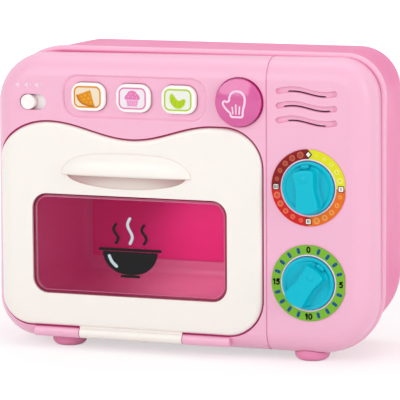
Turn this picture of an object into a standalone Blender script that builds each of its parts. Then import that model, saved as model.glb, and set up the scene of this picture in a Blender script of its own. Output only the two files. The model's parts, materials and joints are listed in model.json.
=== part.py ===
"""Toy microwave oven, modelled as its separate pieces.

Metres, +Z up. X runs to the viewer's right, Y into the depth, so the front
faces -Y. The origin is at the bottom centre of the whole toy: the feet stand
on Z = 0. Depths are given as distances behind the flat front face.
"""

import math

import bmesh
import bpy
from mathutils import Matrix, Vector

# Gaps between pieces
FIT = 0.0003                    # between pieces that sit against each other
SLIDING_GAP = 0.0004            # round a button or a slider in its hole
CUT_OVERRUN = 0.002             # how far a cutter passes the surface it opens
WELD = 0.00001                  # vertices closer than this are one
FACING_SHARE = 0.9              # a face whose normal has this much of a direction faces it
ROUND_END_SHARE = 0.99          # leaves a short straight edge between two round ends

# Housing
BEZEL_WIDTH = 0.277             # at the top; see BOTTOM_FLARE
BEZEL_HEIGHT = 0.2050           # at the right end; see TOP_LEFT_DIP
BEZEL_DEPTH = 0.0265            # front face to the joint with the rear housing
BODY_DEPTH = 0.1005             # front face to the back
GROUND_CLEARANCE = 0.0060       # underside of the housing above the table
BOTTOM_FLARE = 0.0015           # each side is this much further out at the bottom
TOP_LEFT_DIP = 0.0025           # the bezel's top edge falls towards the left
FRONT_FILLET = 0.016
WALL = 0.0025
BODY_BOTTOM = GROUND_CLEARANCE
BODY_TOP = BODY_BOTTOM + BEZEL_HEIGHT
BEZEL_HALF_WIDTH = BEZEL_WIDTH / 2
RIM_RADIUS = 0.0025             # the bead round the back of the bezel
RIM_SIDE_STEP = 0.0035          # how far the bead stands out of the bezel's sides
RIM_TOP_STEP = 0.0025
RIM_BOTTOM_STEP = 0.0012
RIM_HALF_WIDTH = BEZEL_HALF_WIDTH + RIM_SIDE_STEP
RIM_TOP = BODY_TOP + RIM_TOP_STEP
RIM_BOTTOM = BODY_BOTTOM - RIM_BOTTOM_STEP
REAR_SIDE_STEP = 0.0005         # the rear housing starts a little wider than the bezel
REAR_HALF_WIDTH = BEZEL_HALF_WIDTH + REAR_SIDE_STEP
REAR_TOP = BODY_TOP
DIAL_PANEL_WIDTH = 0.0747
SEAM_X = BEZEL_HALF_WIDTH - DIAL_PANEL_WIDTH    # groove between the door side and the dials
SEAM_WIDTH = 0.0008
SEAM_DEPTH = 0.0006
REAR_SIDE_TAPER = 0.0075        # the rear housing narrows towards the back
REAR_BOTTOM_TAPER = 0.002
REAR_EDGE_FILLET = 0.004
CORNER_STEPS = 6
# Corner radii: bottom left, bottom right, top right, top left, seen from the front
BEZEL_CORNERS = (0.029, 0.041, 0.027, 0.036)
RIM_CORNERS = (0.034, 0.044, 0.028, 0.051)
REAR_CORNERS = (0.036, 0.044, 0.029, 0.041)
FILLET_STEPS = 5
BEAD_STEPS = 7                  # unlike CORNER_STEPS, so that no edges coincide

# Door
DOOR_LEFT_MARGIN = 0.0049
DOOR_SEAM_MARGIN = 0.0031
DOOR_BOTTOM_MARGIN = 0.0106
DOOR_TOP_MARGIN = 0.0493
DOOR_LEFT = DOOR_LEFT_MARGIN - BEZEL_HALF_WIDTH
DOOR_RIGHT = SEAM_X - DOOR_SEAM_MARGIN
DOOR_X = (DOOR_LEFT + DOOR_RIGHT) / 2
DOOR_BOTTOM = BODY_BOTTOM + DOOR_BOTTOM_MARGIN
DOOR_TOP = BODY_TOP - DOOR_TOP_MARGIN           # crest of the wavy top edge
DOOR_VALLEY_DROP = 0.0112
DOOR_LEFT_CREST_INSET = 0.0369
DOOR_RIGHT_CREST_INSET = 0.0354
DOOR_VALLEY_OFFSET = 0.00195
DOOR_LEFT_CREST_X = DOOR_LEFT + DOOR_LEFT_CREST_INSET
DOOR_VALLEY_X = DOOR_X + DOOR_VALLEY_OFFSET
DOOR_RIGHT_CREST_X = DOOR_RIGHT - DOOR_RIGHT_CREST_INSET
DOOR_LEFT_SHOULDER = 0.028      # height of the top left quarter ellipse
DOOR_TOP_RIGHT_RADIUS = 0.028
DOOR_BOTTOM_LEFT_RADIUS = 0.0215
DOOR_BOTTOM_RIGHT_RADIUS = 0.026
DOOR_PROUD = 0.0012             # how far the door stands out of the face
DOOR_THICKNESS = 0.010
DOOR_SKIN = 0.0022
DOOR_EDGE_ROUND = 0.003
DOOR_GAP = 0.0010
POCKET_WALL = 0.0012
SHELF_WALL = 0.0022
INNER_FRAME_WALL = 0.0020

# Door window
WINDOW_LEFT_MARGIN = 0.0242
WINDOW_RIGHT_MARGIN = 0.0253
WINDOW_BOTTOM_MARGIN = 0.0233
WINDOW_TOP_MARGIN = 0.0506
WINDOW_LEFT = DOOR_LEFT + WINDOW_LEFT_MARGIN
WINDOW_RIGHT = DOOR_RIGHT - WINDOW_RIGHT_MARGIN
WINDOW_BOTTOM = DOOR_BOTTOM + WINDOW_BOTTOM_MARGIN
WINDOW_TOP = DOOR_TOP - WINDOW_TOP_MARGIN
WINDOW_RADIUS = 0.011
PANE_SET_BACK = 0.0015          # pane front behind the door front
PANE_LAP = 0.0020               # pane flange beyond the window
PANE_FLANGE = 0.0020
PANE_BEVEL = 0.0020
WINDOW_RIB = 0.0018

# Door handle
HANDLE_WIDTH = 0.0962
HANDLE_OFFSET = 0.00225         # to the left of the door's middle
HANDLE_LEFT = DOOR_X - HANDLE_OFFSET - HANDLE_WIDTH / 2
HANDLE_RIGHT = HANDLE_LEFT + HANDLE_WIDTH
HANDLE_LIP_RISE = 0.0144        # above the window
HANDLE_LIP_Z = WINDOW_TOP + HANDLE_LIP_RISE
HANDLE_RISE = 0.0156
HANDLE_REACH = 0.007
HANDLE_LIP_HEIGHT = 0.0016      # where the hood stands out furthest, above its lip
HANDLE_LIP_SHARE = 0.84         # reach of the lip's lower edge against the furthest reach
# Height and reach of the hood's curve above its lip, from the furthest point to the top
HANDLE_SECTION_SHARES = ((0.38, 0.95), (0.64, 0.78), (0.86, 0.46), (1.0, 0.06))
HANDLE_END_SHARE = 0.05         # height and reach left at both ends of the hood
HANDLE_FULLNESS = 3.2           # the higher, the later the hood falls away to its ends
SCOOP_WIDTH = 0.088
SCOOP_BACK = 0.0055
SCOOP_FRONT = 0.0030            # keeps the lip of the hood thick
SCOOP_DROP = 0.0095
SCOOP_LIFT = 0.0050
SCOOP_WALL = 0.0018

# Hinge along the bottom of the door
HINGE_RISE = 0.0060             # axis above the housing's underside
HINGE_Z = BODY_BOTTOM + HINGE_RISE
HINGE_DEPTH = 0.0022            # hinge axis behind the front face
HINGE_RADIUS = 0.0038
HINGE_BOSS_LEFT_INSET = 0.0246  # from the door's edges
HINGE_BARREL_LEFT_INSET = 0.0584
HINGE_BARREL_RIGHT_INSET = 0.0588
HINGE_BOSS_RIGHT_INSET = 0.0242
HINGE_BOSS_LEFT = DOOR_LEFT + HINGE_BOSS_LEFT_INSET
HINGE_BARREL_LEFT = DOOR_LEFT + HINGE_BARREL_LEFT_INSET
HINGE_BARREL_RIGHT = DOOR_RIGHT - HINGE_BARREL_RIGHT_INSET
HINGE_BOSS_RIGHT = DOOR_RIGHT - HINGE_BOSS_RIGHT_INSET
HINGE_PIN_RADIUS = 0.00125
HINGE_GAP = 0.0005
HINGE_WEB = 0.0036
HINGE_BEAM_DEPTH = 0.0050
PIN_END_WALL = 0.003

# Oven cavity
CAVITY_LEFT_LAP = 0.0059        # mouth beyond the window
CAVITY_RIGHT_LAP = 0.0023
CAVITY_BOTTOM_LAP = 0.0039
CAVITY_TOP_LAP = 0.0059
CAVITY_LEFT = WINDOW_LEFT - CAVITY_LEFT_LAP
CAVITY_RIGHT = WINDOW_RIGHT + CAVITY_RIGHT_LAP
CAVITY_BOTTOM = WINDOW_BOTTOM - CAVITY_BOTTOM_LAP
CAVITY_TOP = WINDOW_TOP + CAVITY_TOP_LAP
CAVITY_REAR_ROOM = 0.0157       # between the liner and the rear housing's back wall
CAVITY_SIDE_DRAFT = 0.013
CAVITY_FLOOR_DRAFT = 0.007
CAVITY_CORNER = 0.012
CAVITY_BACK_FILLET = 0.005
CAVITY_WALL = 0.0020
CAVITY_FLANGE = 0.0060
CAVITY_CARD_THICKNESS = 0.0006
CAVITY_CARD_SIDE_MARGIN = 0.007
CAVITY_CARD_BOTTOM_MARGIN = 0.011
CAVITY_CARD_TOP_MARGIN = 0.008
LAMP_RADIUS = 0.0025
LAMP_LENGTH = 0.009
LAMP_DEPTH = 0.045
LAMP_PROUD = 0.003

# Recipe buttons
BUTTON_HEIGHT = 0.0198
BUTTON_CORNER = 0.0074
BUTTON_SPACING = 0.0082
BUTTON_TOP_MARGIN = 0.0308      # middle of the buttons below the housing's top
BUTTON_Z = BODY_TOP - BUTTON_TOP_MARGIN
BUTTON_PROUD = 0.0018
BUTTON_ROUND = 0.0012
BUTTON_FLANGE = 0.0018
BUTTON_FLANGE_THICKNESS = 0.0012
BUTTON_TRAVEL = 0.0016
BUTTON_POST_RADIUS = 0.0025
RECESS_MARGIN_X = 0.0061
RECESS_MARGIN_Z = 0.0041
RECESS_RADIUS = 0.0105
RECESS_DEPTH = 0.0015
RECESS_SLOPE = 0.0034           # width of the sloping edge round the recess
RECESS_SLOPE_SHARES = ((0.45, 0.25), (0.15, 0.75), (0.0, 1.0))     # width left and depth reached
RECESS_MOUTH_SHARE = 1.6        # the cutter widens this much ahead of the face
RECESS_WALL = 0.0023
RECESS_BACKING_MARGIN = 0.0028

# Mitt button
MITT_SEAM_MARGIN = 0.0194
MITT_TOP_MARGIN = 0.0310
MITT_X = SEAM_X - MITT_SEAM_MARGIN
MITT_Z = BODY_TOP - MITT_TOP_MARGIN
MITT_RADIUS = 0.0165
MITT_PROUD = 0.0038
MITT_DOME = 0.0024
MITT_WALL = 0.0018
MITT_GAP = 0.0006
MITT_TAB = 0.0020
MITT_TAB_WIDTH = 0.008
MITT_TAB_THICKNESS = 0.0014
MITT_TRAVEL = 0.0025
MITT_POST_DROP = 0.010

# Sound switch
SLOT_SIDE_MARGIN = 0.0205
SLOT_LENGTH = 0.0196
SLOT_TOP_MARGIN = 0.0358
SLOT_LEFT = SLOT_SIDE_MARGIN - BEZEL_HALF_WIDTH
SLOT_RIGHT = SLOT_LEFT + SLOT_LENGTH
SLOT_HEIGHT = 0.0112
SLOT_Z = BODY_TOP - SLOT_TOP_MARGIN
SLIDER_PROUD = 0.0018
SLIDER_END_GAP = 0.0008         # clearance left at each end of the slot
SLIDER_PLATE_THICKNESS = 0.0014
SLIDER_PLATE_HEIGHT = 0.0124
SLIDER_PLATE_FRONT = 0.0038     # clear of the housing's rounded corner
SLIDER_EDGE_ROUND = 0.0006
SWITCH_WIDTH = 0.016
SWITCH_HEIGHT = 0.010
SWITCH_DEPTH = 0.0036
SWITCH_LUG_RADIUS = 0.0014

# The recess fills the row between the slot and the mitt button, and the buttons share it
RECESS_SLOT_MARGIN = 0.0135
RECESS_MITT_MARGIN = 0.0251
RECESS_LEFT = SLOT_RIGHT + RECESS_SLOT_MARGIN
RECESS_RIGHT = MITT_X - RECESS_MITT_MARGIN
BUTTON_NAMES = ("pizza", "cupcake", "croissant")
BUTTON_GAPS = len(BUTTON_NAMES) - 1
BUTTON_MIDDLE_X = (RECESS_LEFT + RECESS_RIGHT) / 2
BUTTON_ROOM = RECESS_RIGHT - RECESS_LEFT - 2 * RECESS_MARGIN_X - BUTTON_GAPS * BUTTON_SPACING
BUTTON_WIDTH = BUTTON_ROOM / len(BUTTON_NAMES)
BUTTON_PITCH = BUTTON_WIDTH + BUTTON_SPACING
BUTTON_RADIUS = min(BUTTON_CORNER, ROUND_END_SHARE * BUTTON_WIDTH / 2)
LEFT_POST_INSET = 0.0011        # function board's posts beside the recess
LEFT_POST_DROP = 0.0033
RIGHT_POST_INSET = 0.0020
RIGHT_POST_DROP = 0.0058

# Dials and knobs
DIAL_SIDE_MARGIN = 0.0445
DIAL_X = BEZEL_HALF_WIDTH - DIAL_SIDE_MARGIN
TEMPERATURE_HEIGHT_SHARE = 0.57073      # heights up the bezel
TIMER_HEIGHT_SHARE = 0.24927
TEMPERATURE_Z = BODY_BOTTOM + TEMPERATURE_HEIGHT_SHARE * BEZEL_HEIGHT
TIMER_Z = BODY_BOTTOM + TIMER_HEIGHT_SHARE * BEZEL_HEIGHT
LABEL_OUTER_RADIUS = 0.0265
LABEL_INNER_RADIUS = 0.0199
LABEL_THICKNESS = 0.0004
LABEL_NOTCH = 0.0012
LABEL_FLAT = 0.0006             # the right side is trimmed by this much
KNOB_RADIUS = 0.0184
KNOB_PROUD = 0.0032
KNOB_EDGE_ROUND = 0.0014
KNOB_REACH = 0.0115             # front of the grip ahead of the face
KNOB_FLANGE_RADIUS = 0.0212
KNOB_FLANGE_THICKNESS = 0.0020
KNOB_SHAFT_RADIUS = 0.0035
GRIP_HEAD = 0.0120              # grip centre to the pointing end
GRIP_TAIL = 0.0156
GRIP_HEAD_HALF_WIDTH = 0.0074
GRIP_WAIST_HALF_WIDTH = 0.0063
GRIP_TAIL_HALF_WIDTH = 0.0078
GRIP_WAIST_SHARE = 0.55         # place of the waist between tail and head
GRIP_HEAD_SHARES = (0.6, 0.0, -0.6)
GRIP_TAIL_SHARES = (-0.75, -0.35, 0.35, 0.75)
GRIP_HEAD_ARCH = 0.0012
GRIP_TAIL_ARCH = 0.0026
GRIP_ROUND = 0.0013
GRIP_DOT_RADIUS = 0.0017
GRIP_DOT_HEIGHT = 0.0005
GRIP_DOT_INSET = 0.0048
BUMP_HALF_WIDTH = 0.0026        # the small ridge ahead of the grip
BUMP_HALF_HEIGHT = 0.0009
BUMP_HEIGHT = 0.0012
BUMP_DISTANCE = 0.0146
TEMPERATURE_POINTER = math.radians(6.5)       # to the left of straight up
TIMER_POINTER = math.radians(-38)           # to the right of straight up
DETENT_WHEEL_RADIUS = 0.011
DETENT_WHEEL_THICKNESS = 0.0024
DETENT_TEETH = 20
DETENT_TOOTH = 0.0006
DETENT_SPRING_WIDTH = 0.003
DETENT_SPRING_THICKNESS = 0.0005
DETENT_SPRING_LENGTH = 0.016

# Loudspeaker
GRILLE_OFFSET = 0.0018          # to the left of the dials
GRILLE_HEIGHT_SHARE = 0.84098
GRILLE_X = DIAL_X - GRILLE_OFFSET
GRILLE_Z = BODY_BOTTOM + GRILLE_HEIGHT_SHARE * BEZEL_HEIGHT
GRILLE_PITCH = 0.0100
GRILLE_LENGTH = 0.0436
GRILLE_SLOT = 0.0040
GRILLE_WAVE = 0.0016
GRILLE_WAVE_LAG = 0.03          # share of a wave
GRILLE_GROOVE = 0.0013          # depth of the wavy grooves
GRILLE_SLIT = 0.0009            # width of the opening along each groove
GRILLE_RADIUS = 0.0180          # the openings end on this circle
SPEAKER_TOP_MARGIN = 0.0146     # keeps clear of the housing's rounded top edge
SPEAKER_RADIUS = BODY_TOP - SPEAKER_TOP_MARGIN - GRILLE_Z
SPEAKER_DEPTH = 0.0095
SPEAKER_SHEET = 0.0008
SPEAKER_CONE_SHEET = 0.0006
MAGNET_RADIUS = 0.0085
MAGNET_LENGTH = 0.006
SPEAKER_RING_WALL = 0.0016
SPEAKER_RING_HEIGHT = 0.004

# Circuit boards
BOARD_THICKNESS = 0.0016
CONTROL_BOARD_DEPTH = 0.0160
CONTROL_BOARD_LEFT_WIDTH = 0.0240       # from the dials' middle
CONTROL_BOARD_RIGHT_WIDTH = 0.0170
CONTROL_BOARD_DROP = 0.0311             # below the timer's middle
CONTROL_BOARD_SPEAKER_GAP = 0.0074
CONTROL_BOARD_LEFT = DIAL_X - CONTROL_BOARD_LEFT_WIDTH
CONTROL_BOARD_RIGHT = DIAL_X + CONTROL_BOARD_RIGHT_WIDTH
CONTROL_BOARD_BOTTOM = TIMER_Z - CONTROL_BOARD_DROP
CONTROL_BOARD_TOP = GRILLE_Z - SPEAKER_RADIUS - CONTROL_BOARD_SPEAKER_GAP
FUNCTION_BOARD_DEPTH = 0.0120
FUNCTION_BOARD_SLOT_LAP = 0.0080        # beyond the slider's slot
FUNCTION_BOARD_MITT_LAP = 0.0176        # beyond the mitt button's middle
FUNCTION_BOARD_TOP_MARGIN = 0.0342
FUNCTION_BOARD_LEFT = SLOT_LEFT - FUNCTION_BOARD_SLOT_LAP
FUNCTION_BOARD_RIGHT = MITT_X + FUNCTION_BOARD_MITT_LAP
FUNCTION_BOARD_HALF_HEIGHT = 0.0110
FUNCTION_BOARD_Z = BODY_TOP - FUNCTION_BOARD_TOP_MARGIN
BOARD_CORNER = 0.002
DOME_RADIUS = 0.0032
DOME_HEIGHT = 0.0018
PAD_THICKNESS = 0.0007
PAD_HALF_HEIGHT = 0.0075
CHIP_RADIUS = 0.008
CHIP_HEIGHT = 0.0022
CHIP_SHARES = ((1.0, 0.0), (0.9, 0.6), (0.5, 1.0))      # radius and height up the drop of resin
LED_HEIGHT = 0.004
LED_SHARES = ((0.7, 0.9), (1.0, 0.6), (1.0, 0.0))       # radius and height, from the tip down
POST_RADIUS = 0.0028
BOARD_EDGE_TO_POST = 0.0040

# Battery compartment in the back
HATCH_SIDE_MARGIN = 0.0170
HATCH_WIDTH = 0.0690
HATCH_HEIGHT = 0.0360
HATCH_RISE = 0.0560             # above the housing's underside
HATCH_RIGHT = REAR_HALF_WIDTH - HATCH_SIDE_MARGIN
HATCH_LEFT = HATCH_RIGHT - HATCH_WIDTH
HATCH_BOTTOM = BODY_BOTTOM + HATCH_RISE
HATCH_TOP = HATCH_BOTTOM + HATCH_HEIGHT
HATCH_RADIUS = 0.004
TRAY_LIP = 0.0020
TRAY_DEPTH = 0.0190
TRAY_WALL = 0.0016
CELL_RADIUS = 0.0071
CELL_LENGTH = 0.0492
CELL_NUB_RADIUS = 0.00275
CELL_NUB = 0.0010
CELL_PITCH = 0.0160
BATTERY_LEFT_MARGIN = 0.0035    # inside the hatch
BATTERY_RIGHT_MARGIN = 0.0085
BATTERY_LEFT = HATCH_LEFT + BATTERY_LEFT_MARGIN
BATTERY_RIGHT = HATCH_RIGHT - BATTERY_RIGHT_MARGIN
CONTACT_THICKNESS = 0.0005
CONTACT_WIDTH = 0.0290
CONTACT_HEIGHT = 0.0130
CONTACT_BUMP_RADIUS = 0.003
HATCH_SCREW_INSET = 0.0040
HATCH_SCREW_X = HATCH_RIGHT - HATCH_SCREW_INSET

# Screws
SCREW_RADIUS = 0.0012
SCREW_HEAD_RADIUS = 0.0026
SCREW_HEAD = 0.0016
SCREW_CROWN_SHARE = 0.6         # flat top of the head against its whole width
SCREW_HOLE_RADIUS = 0.0016
SCREW_SUNK_SHARE = 0.75         # how much of a door screw's head is sunk in
DOOR_SCREW_INSET_X = 0.0110
DOOR_SCREW_LOW_RISE = 0.0115
DOOR_SCREW_TOP_MARGIN = 0.0287
CASE_SCREW_INSET = 0.0230       # from the rear housing's sides
CASE_SCREW_RISE = 0.0210
CASE_SCREW_DROP = 0.0170
CASE_TUBE_RADIUS = 0.0042
CASE_HEAD_BORE = 0.0031
CASE_BOSS_RADIUS = 0.0036
CASE_BOSS_BACK = 0.0240
CASE_SEAT_DEPTH = 0.0340
CASE_SCREW_BITE = 0.0080
BOARD_SCREW_LENGTH = 0.0050
DOOR_SCREW_LENGTH = 0.0042
HATCH_SCREW_LENGTH = 0.0090
DOOR_BOSS_RADIUS = 0.0030

# Door catch
CATCH_X = DOOR_VALLEY_X
CATCH_DROP = 0.0075             # below the valley of the door's top edge
CATCH_MAGNET_RADIUS = 0.0035
CATCH_MAGNET_LENGTH = 0.0034
CATCH_PLATE_WIDTH = 0.014
CATCH_PLATE_HEIGHT = 0.007
CATCH_PLATE_THICKNESS = 0.0008
REED_RADIUS = 0.0012
REED_LENGTH = 0.014

# Feet
FOOT_RADIUS = 0.0122
FOOT_ROUND = 0.0045
FOOT_FRONT_INSET = 0.0480       # from the housing's sides
FOOT_REAR_INSET = 0.0540
FOOT_SPREAD_FRONT = BEZEL_HALF_WIDTH - FOOT_FRONT_INSET
FOOT_SPREAD_REAR = REAR_HALF_WIDTH - FOOT_REAR_INSET
FOOT_FRONT_DEPTH = 0.0205
FOOT_BACK_MARGIN = 0.0185
FOOT_REAR_DEPTH = BODY_DEPTH - FOOT_BACK_MARGIN
FOOT_BLANK_HEIGHT = 0.0150
FOOT_SPIGOT_RADIUS = 0.0025
FOOT_SPIGOT_RISE = 0.0035

# Derived places
FACE_Y = (KNOB_REACH - BODY_DEPTH) / 2
REAR_FRONT = BEZEL_DEPTH + FIT
DOOR_BACK = DOOR_THICKNESS - DOOR_PROUD
SHELF_FRONT = DOOR_BACK + DOOR_GAP
SHELF_BACK = SHELF_FRONT + SHELF_WALL
LINER_FRONT = SHELF_BACK + FIT
LINER_FLANGE_BACK = LINER_FRONT + CAVITY_WALL
CAVITY_BACK = BODY_DEPTH - WALL - CAVITY_REAR_ROOM - CAVITY_WALL
CAVITY_DEPTH = CAVITY_BACK - LINER_FRONT
DOOR_SKIN_BACK = DOOR_SKIN - DOOR_PROUD
INNER_FRAME_FRONT = DOOR_BACK - INNER_FRAME_WALL
PANE_BACK = DOOR_SKIN_BACK + FIT + PANE_FLANGE
RECESS_FLOOR_BACK = RECESS_DEPTH + RECESS_WALL
BUTTON_FLANGE_FRONT = RECESS_FLOOR_BACK + FIT
BUTTON_FLANGE_BACK = BUTTON_FLANGE_FRONT + BUTTON_FLANGE_THICKNESS
PAD_FRONT = FUNCTION_BOARD_DEPTH - FIT - PAD_THICKNESS
DOME_TOP = PAD_FRONT - DOME_HEIGHT
KNOB_FLANGE_FRONT = WALL + SLIDING_GAP
KNOB_FLANGE_BACK = KNOB_FLANGE_FRONT + KNOB_FLANGE_THICKNESS
WHEEL_BACK = CONTROL_BOARD_DEPTH - SLIDING_GAP
WHEEL_FRONT = WHEEL_BACK - DETENT_WHEEL_THICKNESS
SPEAKER_FRONT = WALL + FIT
TRAY_BACK = BODY_DEPTH - WALL - FIT
TRAY_FRONT = TRAY_BACK - TRAY_DEPTH
CELL_DEPTH = TRAY_FRONT + TRAY_WALL + FIT + CELL_RADIUS
HATCH_Z = (HATCH_BOTTOM + HATCH_TOP) / 2
SLIDER_RADIUS = SLOT_HEIGHT / 2 - FIT
SLIDER_X = SLOT_LEFT + SLOT_HEIGHT / 2 + SLIDER_END_GAP
SLIDER_TRAVEL = SLOT_RIGHT - SLOT_LEFT - SLOT_HEIGHT - 2 * SLIDER_END_GAP
DIAL_HEIGHTS = {"temperature": TEMPERATURE_Z, "timer": TIMER_Z}
DIAL_POINTERS = {"temperature": TEMPERATURE_POINTER, "timer": TIMER_POINTER}

CASE_SCREW_PLACES = tuple((side * (REAR_HALF_WIDTH - CASE_SCREW_INSET), z)
                          for z in (BODY_BOTTOM + CASE_SCREW_RISE, BODY_TOP - CASE_SCREW_DROP)
                          for side in (-1, 1))
FUNCTION_POST_PLACES = ((RECESS_LEFT - LEFT_POST_INSET, FUNCTION_BOARD_Z - LEFT_POST_DROP),
                        (RECESS_RIGHT + RIGHT_POST_INSET, FUNCTION_BOARD_Z - RIGHT_POST_DROP))
DOOR_SCREW_HIGH_Z = DOOR_TOP - DOOR_SCREW_TOP_MARGIN

# The exact solver leaves open edges where the door pocket meets this thin shell
MANIFOLD_PIECES = ("bezel",)

PINK = ("F6A6CB", 0.32)
PALE_PINK = ("F8BBD9", 0.32)
IVORY = ("F8F4EE", 0.30)
WHITE = ("FDFCFA", 0.30)
MAGENTA = ("D8286F", 0.10)
MITT_PINK = ("DB5FA6", 0.20)
TEAL = ("16BFD2", 0.30)
GREY_STEEL = ("B9BDC1", 0.30)
DARK = ("1B1C1E", 0.45)
BOARD_GREEN = ("1F6B3A", 0.50)
SILICONE = ("D9DCDD", 0.60)


def clear_scene():
    for scene_object in list(bpy.data.objects):
        bpy.data.objects.remove(scene_object, do_unlink=True)


def make_collection(name):
    collection = bpy.data.collections.new(name)
    bpy.context.scene.collection.children.link(collection)
    return collection


clear_scene()
PARTS = make_collection("toy_microwave")
CUTTERS = make_collection("cutters")


def behind(depth):
    """World Y of a point this far behind the front face."""
    return FACE_Y + depth


def linear(channel):
    return channel / 12.92 if channel <= 0.04045 else ((channel + 0.055) / 1.055) ** 2.4


def material(name, finish, metallic=0.0, alpha=1.0):
    colour, roughness = finish
    made = bpy.data.materials.new(name)
    made.use_nodes = True
    shader = made.node_tree.nodes["Principled BSDF"]
    rgb = [linear(int(colour[i:i + 2], 16) / 255) for i in (0, 2, 4)]
    shader.inputs["Base Color"].default_value = (*rgb, 1.0)
    shader.inputs["Roughness"].default_value = roughness
    shader.inputs["Metallic"].default_value = metallic
    shader.inputs["Alpha"].default_value = alpha
    return made


def add_object(name, mesh, collection=None):
    made = bpy.data.objects.new(name, mesh)
    (collection or CUTTERS).objects.link(made)
    if (collection or CUTTERS) is CUTTERS:
        made.hide_render = True
        made.display_type = "WIRE"
    return made


def finish_part(part, name, finish, metallic=0.0, alpha=1.0):
    """Moves a shape into the part's collection under its own name."""
    for collection in list(part.users_collection):
        collection.objects.unlink(part)
    PARTS.objects.link(part)
    part.name = name
    part.data.name = name
    part.hide_render = False
    part.display_type = "TEXTURED"
    part.data.materials.clear()
    part.data.materials.append(material(name, finish, metallic, alpha))
    part.data.shade_smooth()
    part.data.set_sharp_from_angle(angle=math.radians(35))
    return part


def arc(centre_x, centre_z, radius_x, radius_z, start, end, steps):
    """Points along an elliptical arc, angles in degrees."""
    angles = [math.radians(start + (end - start) * i / steps) for i in range(steps + 1)]
    return [(centre_x + radius_x * math.cos(a), centre_z + radius_z * math.sin(a)) for a in angles]


def circle(centre_x, centre_z, radius, steps=24):
    return arc(centre_x, centre_z, radius, radius, 0, 360, steps)[:-1]


def rounded_box_outline(left, right, bottom, top, radius, steps=6, top_radius=None):
    high = radius if top_radius is None else top_radius
    points = arc(left + radius, bottom + radius, radius, radius, 180, 270, steps)
    points += arc(right - radius, bottom + radius, radius, radius, 270, 360, steps)
    points += arc(right - high, top - high, high, high, 0, 90, steps)
    points += arc(left + high, top - high, high, high, 90, 180, steps)
    return points


def bezel_quad(grow=0.0):
    """The bezel's four sharp corners, in the order of BEZEL_CORNERS."""
    bottom_half = BEZEL_HALF_WIDTH + BOTTOM_FLARE + grow
    top_half = BEZEL_HALF_WIDTH + grow
    return ((-bottom_half, BODY_BOTTOM - grow), (bottom_half, BODY_BOTTOM - grow),
            (top_half, BODY_TOP + grow), (-top_half, BODY_TOP - TOP_LEFT_DIP + grow))


def rear_quad(grow=0.0, narrower=0.0, higher=0.0):
    half = REAR_HALF_WIDTH + grow - narrower
    bottom = BODY_BOTTOM - grow + higher
    return ((-half - BOTTOM_FLARE / 2, bottom), (half + BOTTOM_FLARE / 2, bottom),
            (half, REAR_TOP + grow), (-half, REAR_TOP + grow))


def rim_outline():
    """Centre line of the bead, with its own radius at each corner."""
    half, low, high = RIM_HALF_WIDTH - RIM_RADIUS, RIM_BOTTOM + RIM_RADIUS, RIM_TOP - RIM_RADIUS
    signs = ((-1, low), (1, low), (1, high), (-1, high))
    points = []
    for i, ((side, z), radius) in enumerate(zip(signs, RIM_CORNERS)):
        radius -= RIM_RADIUS
        centre_z = z + radius if z == low else z - radius
        start = 180 + 90 * i
        points += arc(side * (half - radius), centre_z, radius, radius, start, start + 90, BEAD_STEPS)
    return points


def wave(start, end, steps):
    """A smooth rise or fall from one level point to another."""
    points = []
    for i in range(1, steps):
        along = i / steps
        ease = (1 - math.cos(math.pi * along)) / 2
        points.append((start[0] + (end[0] - start[0]) * along, start[1] + (end[1] - start[1]) * ease))
    return points


def grown(points, distance):
    """An outline moved outwards along its normals."""
    if not distance:
        return points
    moved = []
    for i, point in enumerate(points):
        before, after = points[i - 1], points[(i + 1) % len(points)]
        along = Vector((after[0] - before[0], after[1] - before[1])).normalized()
        moved.append((point[0] + along.y * distance, point[1] - along.x * distance))
    return moved


def door_outline(grow=0.0):
    """The door seen from the front, with two crests along its top edge."""
    left_radius, right_radius = DOOR_BOTTOM_LEFT_RADIUS, DOOR_BOTTOM_RIGHT_RADIUS
    valley = (DOOR_VALLEY_X, DOOR_TOP - DOOR_VALLEY_DROP)
    right_crest, left_crest = (DOOR_RIGHT_CREST_X, DOOR_TOP), (DOOR_LEFT_CREST_X, DOOR_TOP)
    points = arc(DOOR_LEFT + left_radius, DOOR_BOTTOM + left_radius, left_radius, left_radius,
                 180, 270, CORNER_STEPS)
    points += arc(DOOR_RIGHT - right_radius, DOOR_BOTTOM + right_radius, right_radius, right_radius,
                  270, 360, CORNER_STEPS)
    points += arc(DOOR_RIGHT - DOOR_TOP_RIGHT_RADIUS, DOOR_TOP - DOOR_TOP_RIGHT_RADIUS,
                  DOOR_TOP_RIGHT_RADIUS, DOOR_TOP_RIGHT_RADIUS, 0, 90, CORNER_STEPS)
    points += [right_crest] + wave(right_crest, valley, 8) + [valley] + wave(valley, left_crest, 8)
    points += arc(DOOR_LEFT_CREST_X, DOOR_TOP - DOOR_LEFT_SHOULDER, DOOR_LEFT_CREST_X - DOOR_LEFT,
                  DOOR_LEFT_SHOULDER, 90, 180, CORNER_STEPS)
    return grown(points, grow)


def window_outline(grow=0.0):
    return rounded_box_outline(WINDOW_LEFT - grow, WINDOW_RIGHT + grow, WINDOW_BOTTOM - grow,
                               WINDOW_TOP + grow, WINDOW_RADIUS + grow)


def mesh_from_curve(name, curve_data):
    """The curve's evaluated surface as a welded mesh object."""
    curve_object = bpy.data.objects.new(name, curve_data)
    mesh = bpy.data.meshes.new_from_object(curve_object)
    bpy.data.objects.remove(curve_object, do_unlink=True)
    welded = bmesh.new()
    welded.from_mesh(mesh)
    bmesh.ops.remove_doubles(welded, verts=welded.verts, dist=WELD)
    bmesh.ops.dissolve_limit(welded, angle_limit=math.radians(0.2), verts=[], edges=welded.edges)
    bmesh.ops.recalc_face_normals(welded, faces=welded.faces)
    welded.to_mesh(mesh)
    welded.free()
    return mesh


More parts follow.
